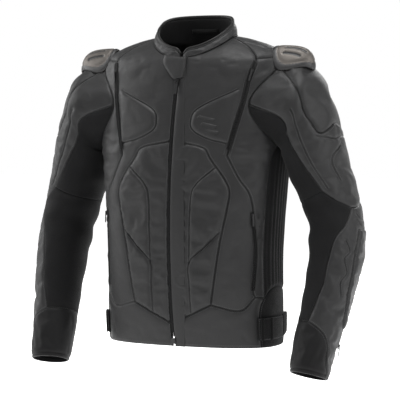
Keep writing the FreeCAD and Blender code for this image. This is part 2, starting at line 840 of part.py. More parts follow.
def hanger_loop():
    """Webbing loop at the back of the neck, open above and below."""
    names = ("Length", "Width", "Height")
    outer = doc.addObject("Part::Box", "loop_outer")
    for name, alias in zip(names, ("loop_width", "loop_depth", "loop_height")):
        outer.setExpression(name, "Dimensions.%s * 1 mm" % alias)
    inner = doc.addObject("Part::Box", "loop_gap")
    inner.Length = size("loop_width") - 2 * size("loop_wall")
    inner.Width = size("loop_depth") - 2 * size("loop_wall")
    inner.Height = 3 * size("loop_height")
    inner.Placement.Base = Vector(size("loop_wall"), size("loop_wall"), -size("loop_height"))
    loop = doc.addObject("Part::Cut", "hanger_loop")
    loop.Base = outer
    loop.Tool = inner
    back = size("neck_half_depth") - 2 * size("collar_wall") - 6.5 - size("loop_depth")
    loop.Placement.Base = Vector(-size("loop_width") / 2, back, 8.0)
    keep("hanger_loop", loop)


# ---------------------------------------------------------------- build, check and write

def check_document():
    doc.recompute()
    for item in doc.Objects:
        if "Invalid" in item.State or "Error" in item.State:
            raise RuntimeError("%s is %s" % (item.Name, item.State))
    for node in nodes:
        if node.Shape.isNull() or not node.Shape.isValid():
            raise RuntimeError("%s has no valid shape" % node.Label)


def write_parts():
    os.makedirs("parts", exist_ok=True)
    for node in nodes:
        node.Shape.exportStep("parts/%s.step" % node.Label)


torso_panels()
collar_pieces()
main_zip()
side_zips()
cuff_zips()
sleeves()
elbow_pieces()
shoulder_caps()
pads_and_trim()
hanger_loop()
check_document()
write_parts()
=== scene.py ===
"""Leather riding jacket, the looks: sewn panels, piping, zips, caps and materials on the CAD frame.

Lengths are millimetres in the form and the seams, and become metres when a mesh is made.
The wearer faces -Y, the wearer's left is +X and Z is up, as in the frame.
"""
import json
import math

import bpy
import numpy as np
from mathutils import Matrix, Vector
from mathutils.bvhtree import BVHTree
from mathutils.geometry import delaunay_2d_cdt

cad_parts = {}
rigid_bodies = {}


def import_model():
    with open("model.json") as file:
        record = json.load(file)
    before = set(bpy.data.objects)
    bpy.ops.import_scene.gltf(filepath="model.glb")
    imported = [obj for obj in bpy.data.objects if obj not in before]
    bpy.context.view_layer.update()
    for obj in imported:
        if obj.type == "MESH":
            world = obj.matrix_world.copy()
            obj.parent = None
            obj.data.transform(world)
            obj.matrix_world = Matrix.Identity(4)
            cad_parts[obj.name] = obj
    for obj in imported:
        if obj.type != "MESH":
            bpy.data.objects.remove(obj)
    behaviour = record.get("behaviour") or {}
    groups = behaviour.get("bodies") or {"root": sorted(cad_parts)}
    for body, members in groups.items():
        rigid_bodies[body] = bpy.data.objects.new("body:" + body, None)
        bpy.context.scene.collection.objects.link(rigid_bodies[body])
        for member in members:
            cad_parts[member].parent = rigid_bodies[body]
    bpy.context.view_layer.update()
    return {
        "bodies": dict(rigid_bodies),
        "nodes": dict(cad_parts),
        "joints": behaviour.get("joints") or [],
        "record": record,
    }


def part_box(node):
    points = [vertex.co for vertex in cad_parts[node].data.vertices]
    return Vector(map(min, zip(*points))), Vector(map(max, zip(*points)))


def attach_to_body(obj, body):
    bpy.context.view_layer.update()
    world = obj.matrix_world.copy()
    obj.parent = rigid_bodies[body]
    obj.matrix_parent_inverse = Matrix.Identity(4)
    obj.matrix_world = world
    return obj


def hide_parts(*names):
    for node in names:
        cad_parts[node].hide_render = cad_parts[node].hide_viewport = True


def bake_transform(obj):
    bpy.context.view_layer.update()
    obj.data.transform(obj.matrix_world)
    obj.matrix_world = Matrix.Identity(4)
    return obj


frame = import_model()
MM = 0.001


# ---------------------------------------------------------------- sizes taken from the frame

def frame_mm(node, corner, axis):
    """One coordinate of a CAD node's box in millimetres."""
    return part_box(node)[corner][axis] / MM


def joint_named(name):
    for joint in frame["joints"]:
        if joint["name"] == name:
            return joint
    raise KeyError(name)


HEM_Z = frame_mm("hem_back", 0, 2) - 1.0
HEM_HALF_WIDTH = frame_mm("hem_back", 1, 0) + 2.0
CHEST_HALF_WIDTH = HEM_HALF_WIDTH + 25.0
NECK_HALF_WIDTH = frame_mm("collar_outer", 1, 0) + 0.2
SLEEVE_END_Z = HEM_Z - 43.0
ELBOW = np.array(joint_named("elbow_left_bend")["pos_m"]) / MM
FRONT_ARC = np.array(joint_named("main_zip_travel")["pos_m"]) / MM
FRONT_ARC_RADIUS = 1100.0


# ---------------------------------------------------------------- the jacket's form

# height, half width, back depth, squareness, front fall, forward shift
TORSO = np.array([
    (HEM_Z, HEM_HALF_WIDTH, 120, 2.5, 0, 0),
    (-540, HEM_HALF_WIDTH, 114, 2.5, 0, 0),
    (-430, HEM_HALF_WIDTH - 2, 120, 2.5, 0, 0),
    (-320, HEM_HALF_WIDTH + 5, 128, 2.5, 0, 0),
    (-230, CHEST_HALF_WIDTH - 12, 134, 2.5, 0, 0),
    (-150, CHEST_HALF_WIDTH - 3, 130, 2.4, 4, 2),
    (-100, CHEST_HALF_WIDTH, 112, 2.4, 10, 4),
    (-60, CHEST_HALF_WIDTH - 5, 98, 2.35, 18, 6),
    (-36, CHEST_HALF_WIDTH - 19, 86, 2.3, 26, 8),
    (-24, CHEST_HALF_WIDTH - 41, 80, 2.25, 31, 8),
    (-16, NECK_HALF_WIDTH + 58, 76, 2.2, 35, 8),
    (-8, NECK_HALF_WIDTH + 32, 70, 2.1, 40, 7),
    (0, NECK_HALF_WIDTH, 64, 2.0, 45, 5),
], float)

# centre x, y, z, tilt of the outer side, outward radius, forward radius, forward lean
SLEEVE = np.array([
    (230, 6, -155, 69, 84, 86, 0),
    (245, 7, -186, 50, 69, 82, 0),
    (254, 8, -218, 26, 62, 80, 0),
    (267, 10, -262, 22, 57, 76, 0),
    (285, 16, -315, 19, 54, 71, 3),
    (302, 16, -375, 9, 52, 67, 9),
    (308, 0, -435, 1, 50, 63, 17),
    (304, -25, -500, -5, 46, 57, 20),
    (298, -50, -560, -7, 43, 52, 20),
    (292, -74, -615, -8, 40, 47, 18),
    (288, -95, SLEEVE_END_Z, -6, 37, 43, 17),
], float)
TOP = len(TORSO) - 1.0
CUFF = float(len(SLEEVE))


def blend_rows(position, rows):
    """Smooth blend of neighbouring stations, straight past both ends."""
    count = len(rows)
    index = np.clip(np.floor(position).astype(int), 0, count - 2)
    part = (position - index)[..., None]
    p1 = rows[index]
    p2 = rows[index + 1]
    p0 = np.where((index == 0)[..., None], 2 * p1 - p2, rows[np.maximum(index - 1, 0)])
    p3 = np.where((index == count - 2)[..., None], 2 * p2 - p1, rows[np.minimum(index + 2, count - 1)])
    linear = p2 - p0
    square = 2 * p0 - 5 * p1 + 4 * p2 - p3
    cube = 3 * p1 - p0 - 3 * p2 + p3
    return 0.5 * (2 * p1 + linear * part + square * part ** 2 + cube * part ** 3)


def front_y(height):
    """The closed front's profile in the middle plane."""
    return FRONT_ARC[1] - np.sqrt(FRONT_ARC_RADIUS ** 2 - (height - FRONT_ARC[2]) ** 2)


def torso_at(angle, station):
    """Torso skin: angle in radians from +X (front is -pi/2), station from hem to neck."""
    angle, station = np.broadcast_arrays(np.asarray(angle, float), np.asarray(station, float))
    height, half, back, square, fall, shift = np.moveaxis(blend_rows(station, TORSO), -1, 0)
    c = np.cos(angle)
    s = np.sin(angle)
    across = np.sign(c) * np.abs(c) ** (2 / square)
    fore = np.sign(s) * np.abs(s) ** (2 / square)
    drop = fall * np.maximum(0, -s) ** 1.5
    reach = np.where(s < 0, -front_y(height - fall), back)
    return np.stack([half * across, reach * fore + shift * (1 - np.abs(fore)), height - drop], -1)


STATIONS = np.linspace(0, TOP, 241)
ANGLES = np.radians(np.linspace(-90, 90, 361))
QUARTER = 245.0


def torso_tables():
    """Even-length positions around the torso, and lengths up it."""
    grid = torso_at(ANGLES[:, None], STATIONS[None, :])
    steps = np.linalg.norm(np.diff(grid, axis=0), axis=-1)
    around = np.concatenate([np.zeros((1, len(STATIONS))), np.cumsum(steps, axis=0)])
    side = around[len(ANGLES) // 2]
    around = np.where(around < side, around / side - 1, (around - side) / (around[-1] - side))
    steps = np.linalg.norm(np.diff(grid, axis=1), axis=-1).mean(0)
    upward = np.concatenate([[0.0], np.cumsum(steps)])
    turns = np.linspace(-1, 1, 401)
    angles = np.stack([np.interp(turns, around[:, j], ANGLES) for j in range(len(STATIONS))], 1)
    return around, upward, turns, angles


AROUND, UPWARD, TURNS, TURN_ANGLES = torso_tables()


def table_lookup(table, row, column):
    """Bilinear reading of a table at fractional rows and columns."""
    i = np.clip(np.floor(row).astype(int), 0, table.shape[0] - 2)
    j = np.clip(np.floor(column).astype(int), 0, table.shape[1] - 2)
    a = row - i
    b = column - j
    low = table[i, j] * (1 - a) + table[i + 1, j] * a
    high = table[i, j + 1] * (1 - a) + table[i + 1, j + 1] * a
    return low * (1 - b) + high * b


def torso_skin(chart):
    """Skin points of chart positions: lengths around from the left side and up from the hem."""
    turn = chart[:, 0] / QUARTER
    station = np.interp(chart[:, 1], UPWARD, STATIONS)
    mirrored = turn > 1
    turn = np.where(mirrored, 2 - turn, turn)
    row = (turn + 1) / 2 * (len(TURNS) - 1)
    angle = table_lookup(TURN_ANGLES, row, station / TOP * (len(STATIONS) - 1))
    points = torso_at(angle, station)
    points[:, 0] *= np.where(mirrored, -1, 1)
    return points


def front(x, z):
    """Chart position of the front skin's point at x and height z."""
    half, square = blend_rows(STATIONS, TORSO)[:, [1, 3]].T
    angle = -np.arccos(np.minimum(abs(x) / half, 0.9999) ** (square / 2))
    heights = torso_at(angle, STATIONS)[:, 2]
    station = np.interp(z, heights, STATIONS)
    return around_at(np.interp(station, STATIONS, angle), station)


def around_at(angle, station):
    """Chart position of an angle (radians) and a station."""
    column = station / TOP * (len(STATIONS) - 1)
    row = (angle - ANGLES[0]) / (ANGLES[-1] - ANGLES[0]) * (len(ANGLES) - 1)
    turn = table_lookup(AROUND, np.array([row]), np.array([column]))[0]
    return turn * QUARTER, float(np.interp(station, STATIONS, UPWARD))


def station_of(z):
    return float(np.interp(z, blend_rows(STATIONS, TORSO)[:, 0], STATIONS))


def turned(degrees, z):
    """Chart position of an angle in degrees and a level; past 90 it continues on the right."""
    if degrees > 90:
        across, up = around_at(math.radians(180 - degrees), station_of(z))
        return 2 * QUARTER - across, up
    return around_at(math.radians(degrees), station_of(z))


ARMHOLE_Z = -134.0
ARMHOLE_HALF = 98.0
ARMHOLE_BEND = 2.1


def armhole_turn(phi):
    """Armhole curve in torso angle and station; phi 0 is the top and pi/2 the front."""
    s = np.sin(phi)
    spread = np.where(s > 0, math.radians(47), math.radians(46))
    angle = -np.sign(s) * spread * np.abs(s) ** ARMHOLE_BEND
    height = ARMHOLE_Z + ARMHOLE_HALF * np.cos(phi)
    return angle, np.interp(height, blend_rows(STATIONS, TORSO)[:, 0], STATIONS)


def armhole_chart(first, last, count=40):
    """The armhole seam in torso chart positions between two angles round the hole."""
    angles, stations = armhole_turn(np.radians(np.linspace(first, last, count)))
    return [around_at(a, s) for a, s in zip(angles, stations)]


def sleeve_ring(number, phi):
    x, y, z, tilt, out, fore, lean = SLEEVE[number]
    t = math.radians(tilt)
    lean = math.radians(lean)
    outward = np.array([math.cos(t), 0, math.sin(t)])
    along = np.array([math.sin(t), 0, -math.cos(t)])
    ahead = np.array([0, -math.cos(lean), 0]) - along * math.sin(lean)
    centre = np.array([x, y, z])
    return centre + out * np.cos(phi)[..., None] * outward + fore * np.sin(phi)[..., None] * ahead


def sleeve_at(phi, position):
    """Left sleeve skin: phi 0 outer, pi/2 front, pi inner; position 0 is the armhole seam."""
    phi, position = np.broadcast_arrays(np.asarray(phi, float), np.asarray(position, float))
    knots = [torso_at(*armhole_turn(phi))]
    knots += [sleeve_ring(k, phi) for k in range(len(SLEEVE))]
    knots = np.stack(knots)
    index = np.clip(np.floor(position).astype(int), 0, len(SLEEVE) - 1)
    part = (position - index)[..., None]

    def knot(number):
        number = np.clip(number, 0, len(knots) - 1)
        return np.take_along_axis(knots, number[None, ..., None], 0)[0]
    start = knot(index)
    end = knot(index + 1)
    leave = 0.5 * (end - knot(index - 1))
    arrive = 0.5 * (knot(index + 2) - start)
    top = np.maximum(0, np.cos(phi))[..., None]
    first = (knots[1] - knots[0]) * (1 - top) + top * np.array([84.0, 0, -16.0])
    leave = np.where((index == 0)[..., None], first, leave)
    arrive = np.where((index == len(SLEEVE) - 1)[..., None], end - start, arrive)
    return (start * (2 * part ** 3 - 3 * part ** 2 + 1) + leave * (part ** 3 - 2 * part ** 2 + part)
            + end * (3 * part ** 2 - 2 * part ** 3) + arrive * (part ** 3 - part ** 2))


POSITIONS = np.linspace(0, CUFF, 441)


def sleeve_lengths():
    phi = np.radians(np.arange(0, 360, 15))
    grid = sleeve_at(phi[:, None], POSITIONS[None, :])
    steps = np.linalg.norm(np.diff(grid, axis=1), axis=-1).mean(0)
    return np.concatenate([[0.0], np.cumsum(steps)])


SLEEVE_LENGTHS = sleeve_lengths()


def sleeve_skin(chart):
    """Skin points of sleeve chart positions: degrees round and length down the sleeve."""
    return sleeve_at(np.radians(chart[:, 0]), np.interp(chart[:, 1], SLEEVE_LENGTHS, POSITIONS))


def arm(degrees, position):
    """Sleeve chart position of an angle in degrees and a ring position."""
    return float(degrees), float(np.interp(position, POSITIONS, SLEEVE_LENGTHS))


# ---------------------------------------------------------------- curves and distances

def smooth_line(points, spacing=4.0):
    """A soft curve through the points, sampled at about the spacing."""
    points = np.asarray(points, float)
    if len(points) == 2:
        count = max(1, int(round(np.linalg.norm(points[1] - points[0]) / spacing)))
        share = np.linspace(0, 1, count + 1)[:, None]
        return points[0] * (1 - share) + points[1] * share
    fine = blend_rows(np.linspace(0, len(points) - 1, 24 * len(points)), points)
    return resample(fine, spacing)


def resample(points, spacing):
    length = lengths_along(points)
    count = max(1, int(round(length[-1] / spacing)))
    wanted = np.linspace(0, length[-1], count + 1)
    return np.stack([np.interp(wanted, length, points[:, k]) for k in range(points.shape[1])], 1)


def joined(*lines):
    """One closed loop from end-to-end lines, without repeated corners."""
    parts = [np.asarray(line)[:-1] for line in lines]
    return np.concatenate(parts)


def unit(vectors):
    return vectors / np.maximum(np.linalg.norm(vectors, axis=1, keepdims=True), 1e-9)


def lengths_along(points):
    """Length of a polyline at each of its points."""
    steps = np.linalg.norm(np.diff(points, axis=0), axis=1)
    return np.concatenate([[0.0], np.cumsum(steps)])


def left_of(along):
    """Unit chart directions a quarter turn to the left of the given ones."""
    along = unit(along)
    return np.stack([-along[:, 1], along[:, 0]], 1)


def offset_line(line, distance):
    return line + left_of(np.gradient(line, axis=0)) * distance


def corner_loop(corners, spacing=4.0):
    """A closed loop with straight sides between its corners."""
    after = [*corners[1:], corners[0]]
    return joined(*[smooth_line([a, b], spacing) for a, b in zip(corners, after)])


def distance_to(points, line, closed=False):
    """Distance from each chart point to a polyline."""
    line = np.asarray(line, float)
    a = line
    b = np.roll(line, -1, axis=0)
    if not closed:
        a = a[:-1]
        b = b[:-1]
    best = np.full(len(points), 1e9)
    for start in range(0, len(a), 64):
        p = points[:, None, :] - a[None, start:start + 64]
        d = (b - a)[start:start + 64][None]
        share = np.clip((p * d).sum(-1) / np.maximum((d * d).sum(-1), 1e-9), 0, 1)
        best = np.minimum(best, np.linalg.norm(p - share[..., None] * d, axis=-1).min(1))
    return best


def inside(points, loop):
    """Which chart points lie inside a closed loop."""
    loop = np.asarray(loop, float)
    result = np.zeros(len(points), bool)
    after = np.roll(loop, -1, axis=0)
    x = points[:, 0]
    y = points[:, 1]
    for (ax, ay), (bx, by) in zip(loop, after):
        if ay == by:
            continue
        crosses = (ay > y) != (by > y)
        result ^= crosses & (x < (bx - ax) * (y - ay) / (by - ay) + ax)
    return result


def fade(value, low, high):
    share = np.clip((value - low) / (high - low), 0, 1)
    return share * share * (3 - 2 * share)


def lattice_noise(cells, seed):
    """A repeatable random number for each lattice cell."""
    h = (cells[..., 0] * 73856093) ^ (cells[..., 1] * 19349663) ^ (cells[..., 2] * 83492791)
    h = h ^ (seed * 2654435)
    h = (h ^ (h >> 13)) * 1274126177
    h = h ^ (h >> 16)
    return (h & 0xFFFF) / 32767.5 - 1.0


def noise(points, scale, seed=0):
    """Smooth value noise from -1 to 1; scale is the cell size, one number or three."""
    p = points / np.asarray(scale, float)
    cell = np.floor(p).astype(np.int64)
    f = p - cell
    f = f * f * (3 - 2 * f)
    total = 0
    for dx in (0, 1):
        for dy in (0, 1):
            for dz in (0, 1):
                weight = (np.where(dx, f[..., 0], 1 - f[..., 0]) * np.where(dy, f[..., 1], 1 - f[..., 1])
                          * np.where(dz, f[..., 2], 1 - f[..., 2]))
                total = total + weight * lattice_noise(cell + np.array([dx, dy, dz]), seed)
    return total


def ridges(points, scale, seed):
    """Soft crease pattern: sharp valleys between rounded swells, from 0 to 1."""
    fine = noise(points, np.asarray(scale) * 0.5, seed + 7)
    return np.clip(np.abs(noise(points, scale, seed)) + 0.5 * np.abs(fine), 0, 1)


# ---------------------------------------------------------------- meshes

RIM_INSET = 1.8
GROOVE_FLANK = 1.7
GROOVE_DEPTH = 2.0
EDGE_WIDTH = 1.6
SEWN_WIDTH = 1.2
LEAST_GAP = 1.1
RIM_CLEARANCE = 1.3
HIT_START = 22.0
HIT_REACH = 32.0


def skin_normals(surface, chart):
    step = 0.6
    right = surface(chart + np.array([step, 0])) - surface(chart - np.array([step, 0]))
    up = surface(chart + np.array([0, step])) - surface(chart - np.array([0, step]))
    return unit(np.cross(right, up))


def make_object(name, vertices, faces, materials, face_materials=None, smooth=True):
    mesh = bpy.data.meshes.new(name)
    mesh.from_pydata([tuple(v) for v in np.asarray(vertices) * MM], [], [tuple(f) for f in faces])
    for material in materials:
        mesh.materials.append(material)
    if face_materials is not None:
        mesh.polygons.foreach_set("material_index", np.asarray(face_materials, np.int32))
    mesh.polygons.foreach_set("use_smooth", np.full(len(mesh.polygons), smooth))
    mesh.update()
    obj = bpy.data.objects.new(name, mesh)
    bpy.context.scene.collection.objects.link(obj)
    return obj


def inset_points(loop, distance):
    """Points a little inside a closed loop, one for each of its points."""
    return loop + left_of(np.roll(loop, -1, axis=0) - np.roll(loop, 1, axis=0)) * distance


def triangulate(loop, grooves, spacing):
    """Chart points and triangles of a panel, with the loop's own points first."""
    area = 0.5 * np.sum(loop[:, 0] * np.roll(loop[:, 1], -1) - np.roll(loop[:, 0], -1) * loop[:, 1])
    if area < 0:
        loop = loop[::-1]
    low = loop.min(0)
    high = loop.max(0)
    rows = np.arange(low[1], high[1], spacing * 0.866)
    grid = []
    for k, row in enumerate(rows):
        across = np.arange(low[0] + (k % 2) * spacing / 2, high[0], spacing)
        grid.append(np.stack([across, np.full(len(across), row)], 1))
    grid = np.concatenate(grid)
    fine = [inset_points(loop, RIM_INSET)]
    for line in grooves:
        fine.append(line)
        fine += [offset_line(line, GROOVE_FLANK), offset_line(line, -GROOVE_FLANK)]
    fine = np.concatenate(fine)
    fine = fine[inside(fine, loop)]
    fine = fine[distance_to(fine, loop, True) > RIM_CLEARANCE]
    grid = grid[inside(grid, loop)]
    grid = grid[distance_to(grid, loop, True) > spacing * 0.75]
    for line in grooves:
        grid = grid[distance_to(grid, line) > spacing * 0.7]
    fine = thin_out(fine, LEAST_GAP)
    points = np.concatenate([loop, fine, grid])
    count = len(loop)
    edges = [(k, (k + 1) % count) for k in range(count)]
    result = delaunay_2d_cdt([Vector(p) for p in points], edges, [], 1, 1e-5)
    chart = np.array([tuple(v) for v in result[0]])
    triangles = np.array([tuple(f) for f in result[2]])
    corners = chart[triangles]
    side_a = corners[:, 1] - corners[:, 0]
    side_b = corners[:, 2] - corners[:, 0]
    turn = side_a[:, 0] * side_b[:, 1] - side_a[:, 1] * side_b[:, 0]
    triangles[turn < 0] = triangles[turn < 0][:, ::-1]
    return chart, triangles[np.abs(turn) > 1e-6]


def thin_out(points, least):
    """Drops points that fall in a grid cell that is already taken."""
    keys = np.round(points / least).astype(np.int64)
    _, first = np.unique(keys, axis=0, return_index=True)
    return points[np.sort(first)]


def rim_edges(triangles):
    """Directed edges that belong to one triangle only."""
    edges = np.concatenate([triangles[:, [0, 1]], triangles[:, [1, 2]], triangles[:, [2, 0]]])
    keys = {}
    for a, b in edges:
        keys[(int(a), int(b))] = True
    return [(a, b) for (a, b) in keys if (b, a) not in keys]


def panel(name, surface, loop, relief, material, lining, spacing=5.0, grooves=(), wall=2.6, flip=False,
          roll=1.5, pressure=0.0, most=4.0, inlay=None):
    """A sewn panel: a closed shell over a chart loop, with rolled edges and a lining inside.

    With a pressure, a short cloth simulation swells it between its seams by at most so many mm.
    An inlay is a material and a test of chart points that says where it lies.
    """
    chart, triangles = triangulate(np.asarray(loop, float), list(grooves), spacing)
    base = surface(chart)
    normal = skin_normals(surface, chart) * (-1 if flip else 1)
    edge = distance_to(chart, loop, True)
    rise = relief(chart, base, edge) - roll * np.exp(-edge / EDGE_WIDTH)
    for line in grooves:
        away = distance_to(chart, line)
        rise = rise - GROOVE_DEPTH * np.exp(-(away / EDGE_WIDTH) ** 2)
        edge = np.minimum(edge, away)
    outer = base + normal * rise[:, None]
    inner = base + normal * (np.minimum(rise, 0.0) - wall)[:, None]
    count = len(chart)
    if flip:
        triangles = triangles[:, ::-1]
    faces = [tuple(t) for t in triangles]
    faces += [tuple(t[::-1] + count) for t in triangles]
    kinds = np.concatenate([np.zeros(len(triangles), int), np.ones(len(triangles), int)])
    materials = [material, lining]
    if inlay is not None:
        centres = chart[triangles].mean(1)
        kinds[:len(triangles)][inlay[1](centres)] = 2
        materials.append(inlay[0])
    rim = rim_edges(triangles)
    for a, b in rim:
        faces.append((b, a, a + count, b + count))
    kinds = np.concatenate([kinds, np.zeros(len(rim), int)])
    obj = make_object(name, np.concatenate([outer, inner]), faces, materials, kinds)
    seam = obj.data.attributes.new("seam", "FLOAT", "POINT")
    seam.data.foreach_set("value", np.concatenate([edge, edge]).astype(np.float32))
    if pressure > 0:
        held = np.concatenate([np.nonzero(edge < SEWN_WIDTH)[0], np.arange(count, 2 * count)])
        swell(obj, held, pressure, most)
    return obj


def coordinates(mesh):
    points = np.empty(len(mesh.vertices) * 3, np.float32)
    mesh.vertices.foreach_get("co", points)
    return points.reshape(-1, 3)


def swell(obj, held, pressure, most, growth=0.015, frames=9):
    """Cloth simulation of a lined panel that is sewn down along its seams."""
    before = coordinates(obj.data)
    group = obj.vertex_groups.new(name="sewn")
    group.add([int(k) for k in held], 1.0, "REPLACE")
    cloth = obj.modifiers.new("cloth", "CLOTH")
    settings = cloth.settings
    settings.quality = 5
    settings.mass = 0.5
    settings.tension_stiffness = 25
    settings.compression_stiffness = 25
    settings.shear_stiffness = 15
    settings.bending_stiffness = 0.6
    settings.shrink_min = -growth
    settings.use_pressure = True
    settings.uniform_pressure_force = pressure
    settings.vertex_group_mass = group.name
    settings.effector_weights.gravity = 0
    cloth.collision_settings.use_collision = False
    cloth.point_cache.frame_end = frames
    scene = bpy.context.scene
    for frame in range(1, frames + 1):
        scene.frame_set(frame)
    evaluated = obj.evaluated_get(bpy.context.evaluated_depsgraph_get())
    after = coordinates(evaluated.to_mesh())
    evaluated.to_mesh_clear()
    obj.modifiers.remove(cloth)
    obj.vertex_groups.remove(group)
    scene.frame_set(1)
    move = after - before
    move[~np.isfinite(move)] = 0
    length = np.linalg.norm(move, axis=1)
    limit = most * MM
    short = limit * np.tanh(length / limit) / np.maximum(length, 1e-9)
    obj.data.vertices.foreach_set("co", (before + move * short[:, None]).astype(np.float32).ravel())
    obj.data.update()


class Hull:
    """Finds where thread and piping lie on finished panels."""

    def __init__(self, objects):
        points = []
        faces = []
        for obj in objects:
            first = len(points)
            points += [tuple(v) for v in coordinates(obj.data) / MM]
            faces += [[first + k for k in face.vertices] for face in obj.data.polygons]
        self.tree = BVHTree.FromPolygons(points, faces)

    def lay(self, surface, line, lift):
        """Points of a chart line on the panels, raised by lift, and the normals there."""
        line = np.asarray(line, float)
        base = surface(line)
        normal = skin_normals(surface, line)
        points = []
        for place, out in zip(base, normal):
            hit = self.tree.ray_cast(Vector(place + out * HIT_START), Vector(-out), HIT_REACH)[0]
            points.append(place if hit is None else np.array(hit))
        return np.array(points) + normal * lift, normal


def frames_along(points, normals):
    along = unit(np.gradient(points, axis=0))
    side = unit(np.cross(along, normals))
    return along, side, np.cross(side, along)


class Batch:
    """Collects many small shapes into one mesh."""

    def __init__(self):
        self.points = []
        self.faces = []
        self.kinds = []

    def add(self, points, faces, kind=0):
        first = len(self.points)
        self.points += [tuple(p) for p in points]
        self.faces += [tuple(first + k for k in face) for face in faces]
        self.kinds += [kind] * len(faces)

    def sweep(self, points, normals, section, kind=0):
        """A closed section (across, up) swept along a line, capped at both ends."""
        _, side, up = frames_along(points, normals)
        section = np.asarray(section, float)
        count = len(section)
        rings = points[:, None] + section[None, :, :1] * side[:, None] + section[None, :, 1:] * up[:, None]
        faces = [tuple(range(count))[::-1], tuple((len(points) - 1) * count + k for k in range(count))]
        for ring in range(len(points) - 1):
            for k in range(count):
                after = (k + 1) % count
                low = ring * count
                faces.append((low + k, low + after, low + count + after, low + count + k))
        self.add(rings.reshape(-1, 3), faces, kind)

    def tube(self, points, normals, radius, sides=8, kind=0):
        turn = np.linspace(0, 2 * math.pi, sides, endpoint=False)
        self.sweep(points, normals, np.stack([np.cos(turn), np.sin(turn)], 1) * radius, kind)

    def strip(self, points, normals, left, right, low, high, kind=0):
        edge = min(0.3, 0.3 * (high - low))
        section = [(left, low), (right, low), (right, high - edge), (right - edge, high),
                   (left + edge, high), (left, high - edge)]
        self.sweep(points, normals, section, kind)

    def grains(self, points, normals, pitch, size, shift=0.0, kind=0):
        """Equal small blocks along a line: size is their length, width and height."""
        length = lengths_along(points)
        along, side, up = frames_along(points, normals)
        wanted = np.arange(pitch / 2 + shift * pitch, length[-1], pitch)
        at = [np.stack([np.interp(wanted, length, data[:, k]) for k in range(3)], 1)
              for data in (points, along, side, up)]
        half = np.asarray(size, float) / 2
        corners = [(a, b, c) for c in (0.0, 1.0) for a, b in ((-1, -1), (1, -1), (1, 1), (-1, 1))]
        for place, ahead, across, above in zip(*at):
            block = [place + ahead * a * half[0] * (1 - 0.3 * c) + across * b * half[1] * (1 - 0.2 * c)
                     + above * c * 2 * half[2] for a, b, c in corners]
            faces = [(3, 2, 1, 0), (4, 5, 6, 7), (0, 1, 5, 4), (1, 2, 6, 5), (2, 3, 7, 6), (3, 0, 4, 7)]
            self.add(block, faces, kind)

    def finish(self, name, materials, smooth=False):
        return make_object(name, self.points, self.faces, materials, self.kinds, smooth)


def mirror_object(obj, name):
    """The same piece on the wearer's right."""
    mesh = obj.data.copy()
    mesh.name = name
    points = coordinates(mesh)
    points[:, 0] *= -1
    mesh.vertices.foreach_set("co", points.ravel())
    mesh.flip_normals()
    mesh.update()
    other = bpy.data.objects.new(name, mesh)
    bpy.context.scene.collection.objects.link(other)
    return other


# ---------------------------------------------------------------- materials

class Nodes:
    """A small helper that adds and joins shader nodes of one material."""

    def __init__(self, name):
        self.material = bpy.data.materials.new(name)
        self.material.use_nodes = True
        self.tree = self.material.node_tree
        self.shader = self.tree.nodes["Principled BSDF"]
        self.place = self.add("ShaderNodeTexCoord").outputs["Object"]

    def add(self, kind, **settings):
        node = self.tree.nodes.new(kind)
        for key, value in settings.items():
            setattr(node, key, value)
        return node

    def link(self, start, end):
        self.tree.links.new(start, end)

    def texture(self, kind, scale, **values):
        node = self.add(kind)
        node.inputs["Scale"].default_value = scale
        for key, value in values.items():
            node.inputs[key].default_value = value
        self.link(self.place, node.inputs["Vector"])
        return node

    def mix(self, share, a, b, mode="MIX"):
        node = self.add("ShaderNodeMix", data_type="RGBA", blend_type=mode)
        for socket, value in ((node.inputs[0], share), (node.inputs[6], a), (node.inputs[7], b)):
            if isinstance(value, (int, float)):
                socket.default_value = value
            elif isinstance(value, tuple):
                socket.default_value = (*value, 1.0)
            else:
                self.link(value, socket)
        return node.outputs[2]

    def toned(self, colour, scale, detail, dark, light):
        """A colour that drifts slowly between a darker and a lighter tone."""
        drift = self.texture("ShaderNodeTexNoise", scale, Detail=detail)
        share = self.range_of(drift.outputs["Fac"], 0.3, 0.7, 0.0, 1.0)
        return self.mix(share, tuple(c * dark for c in colour), tuple(c * light for c in colour))

    def maths(self, operation, a, b=0.0):
        node = self.add("ShaderNodeMath", operation=operation)
        for socket, value in zip(node.inputs, (a, b)):
            if isinstance(value, (int, float)):
                socket.default_value = value
            else:
                self.link(value, socket)
        return node.outputs[0]

    def bump(self, height, strength, distance, before=None):
        node = self.add("ShaderNodeBump")
        node.inputs["Strength"].default_value = strength
        node.inputs["Distance"].default_value = distance
        self.link(height, node.inputs["Height"])
        if before is not None:
            self.link(before, node.inputs["Normal"])
        return node.outputs["Normal"]

    def range_of(self, source, low, high, to_low, to_high):
        node = self.add("ShaderNodeMapRange")
        for key, value in (("From Min", low), ("From Max", high), ("To Min", to_low), ("To Max", to_high)):
            node.inputs[key].default_value = value
        self.link(source, node.inputs["Value"])
        return node.outputs["Result"]


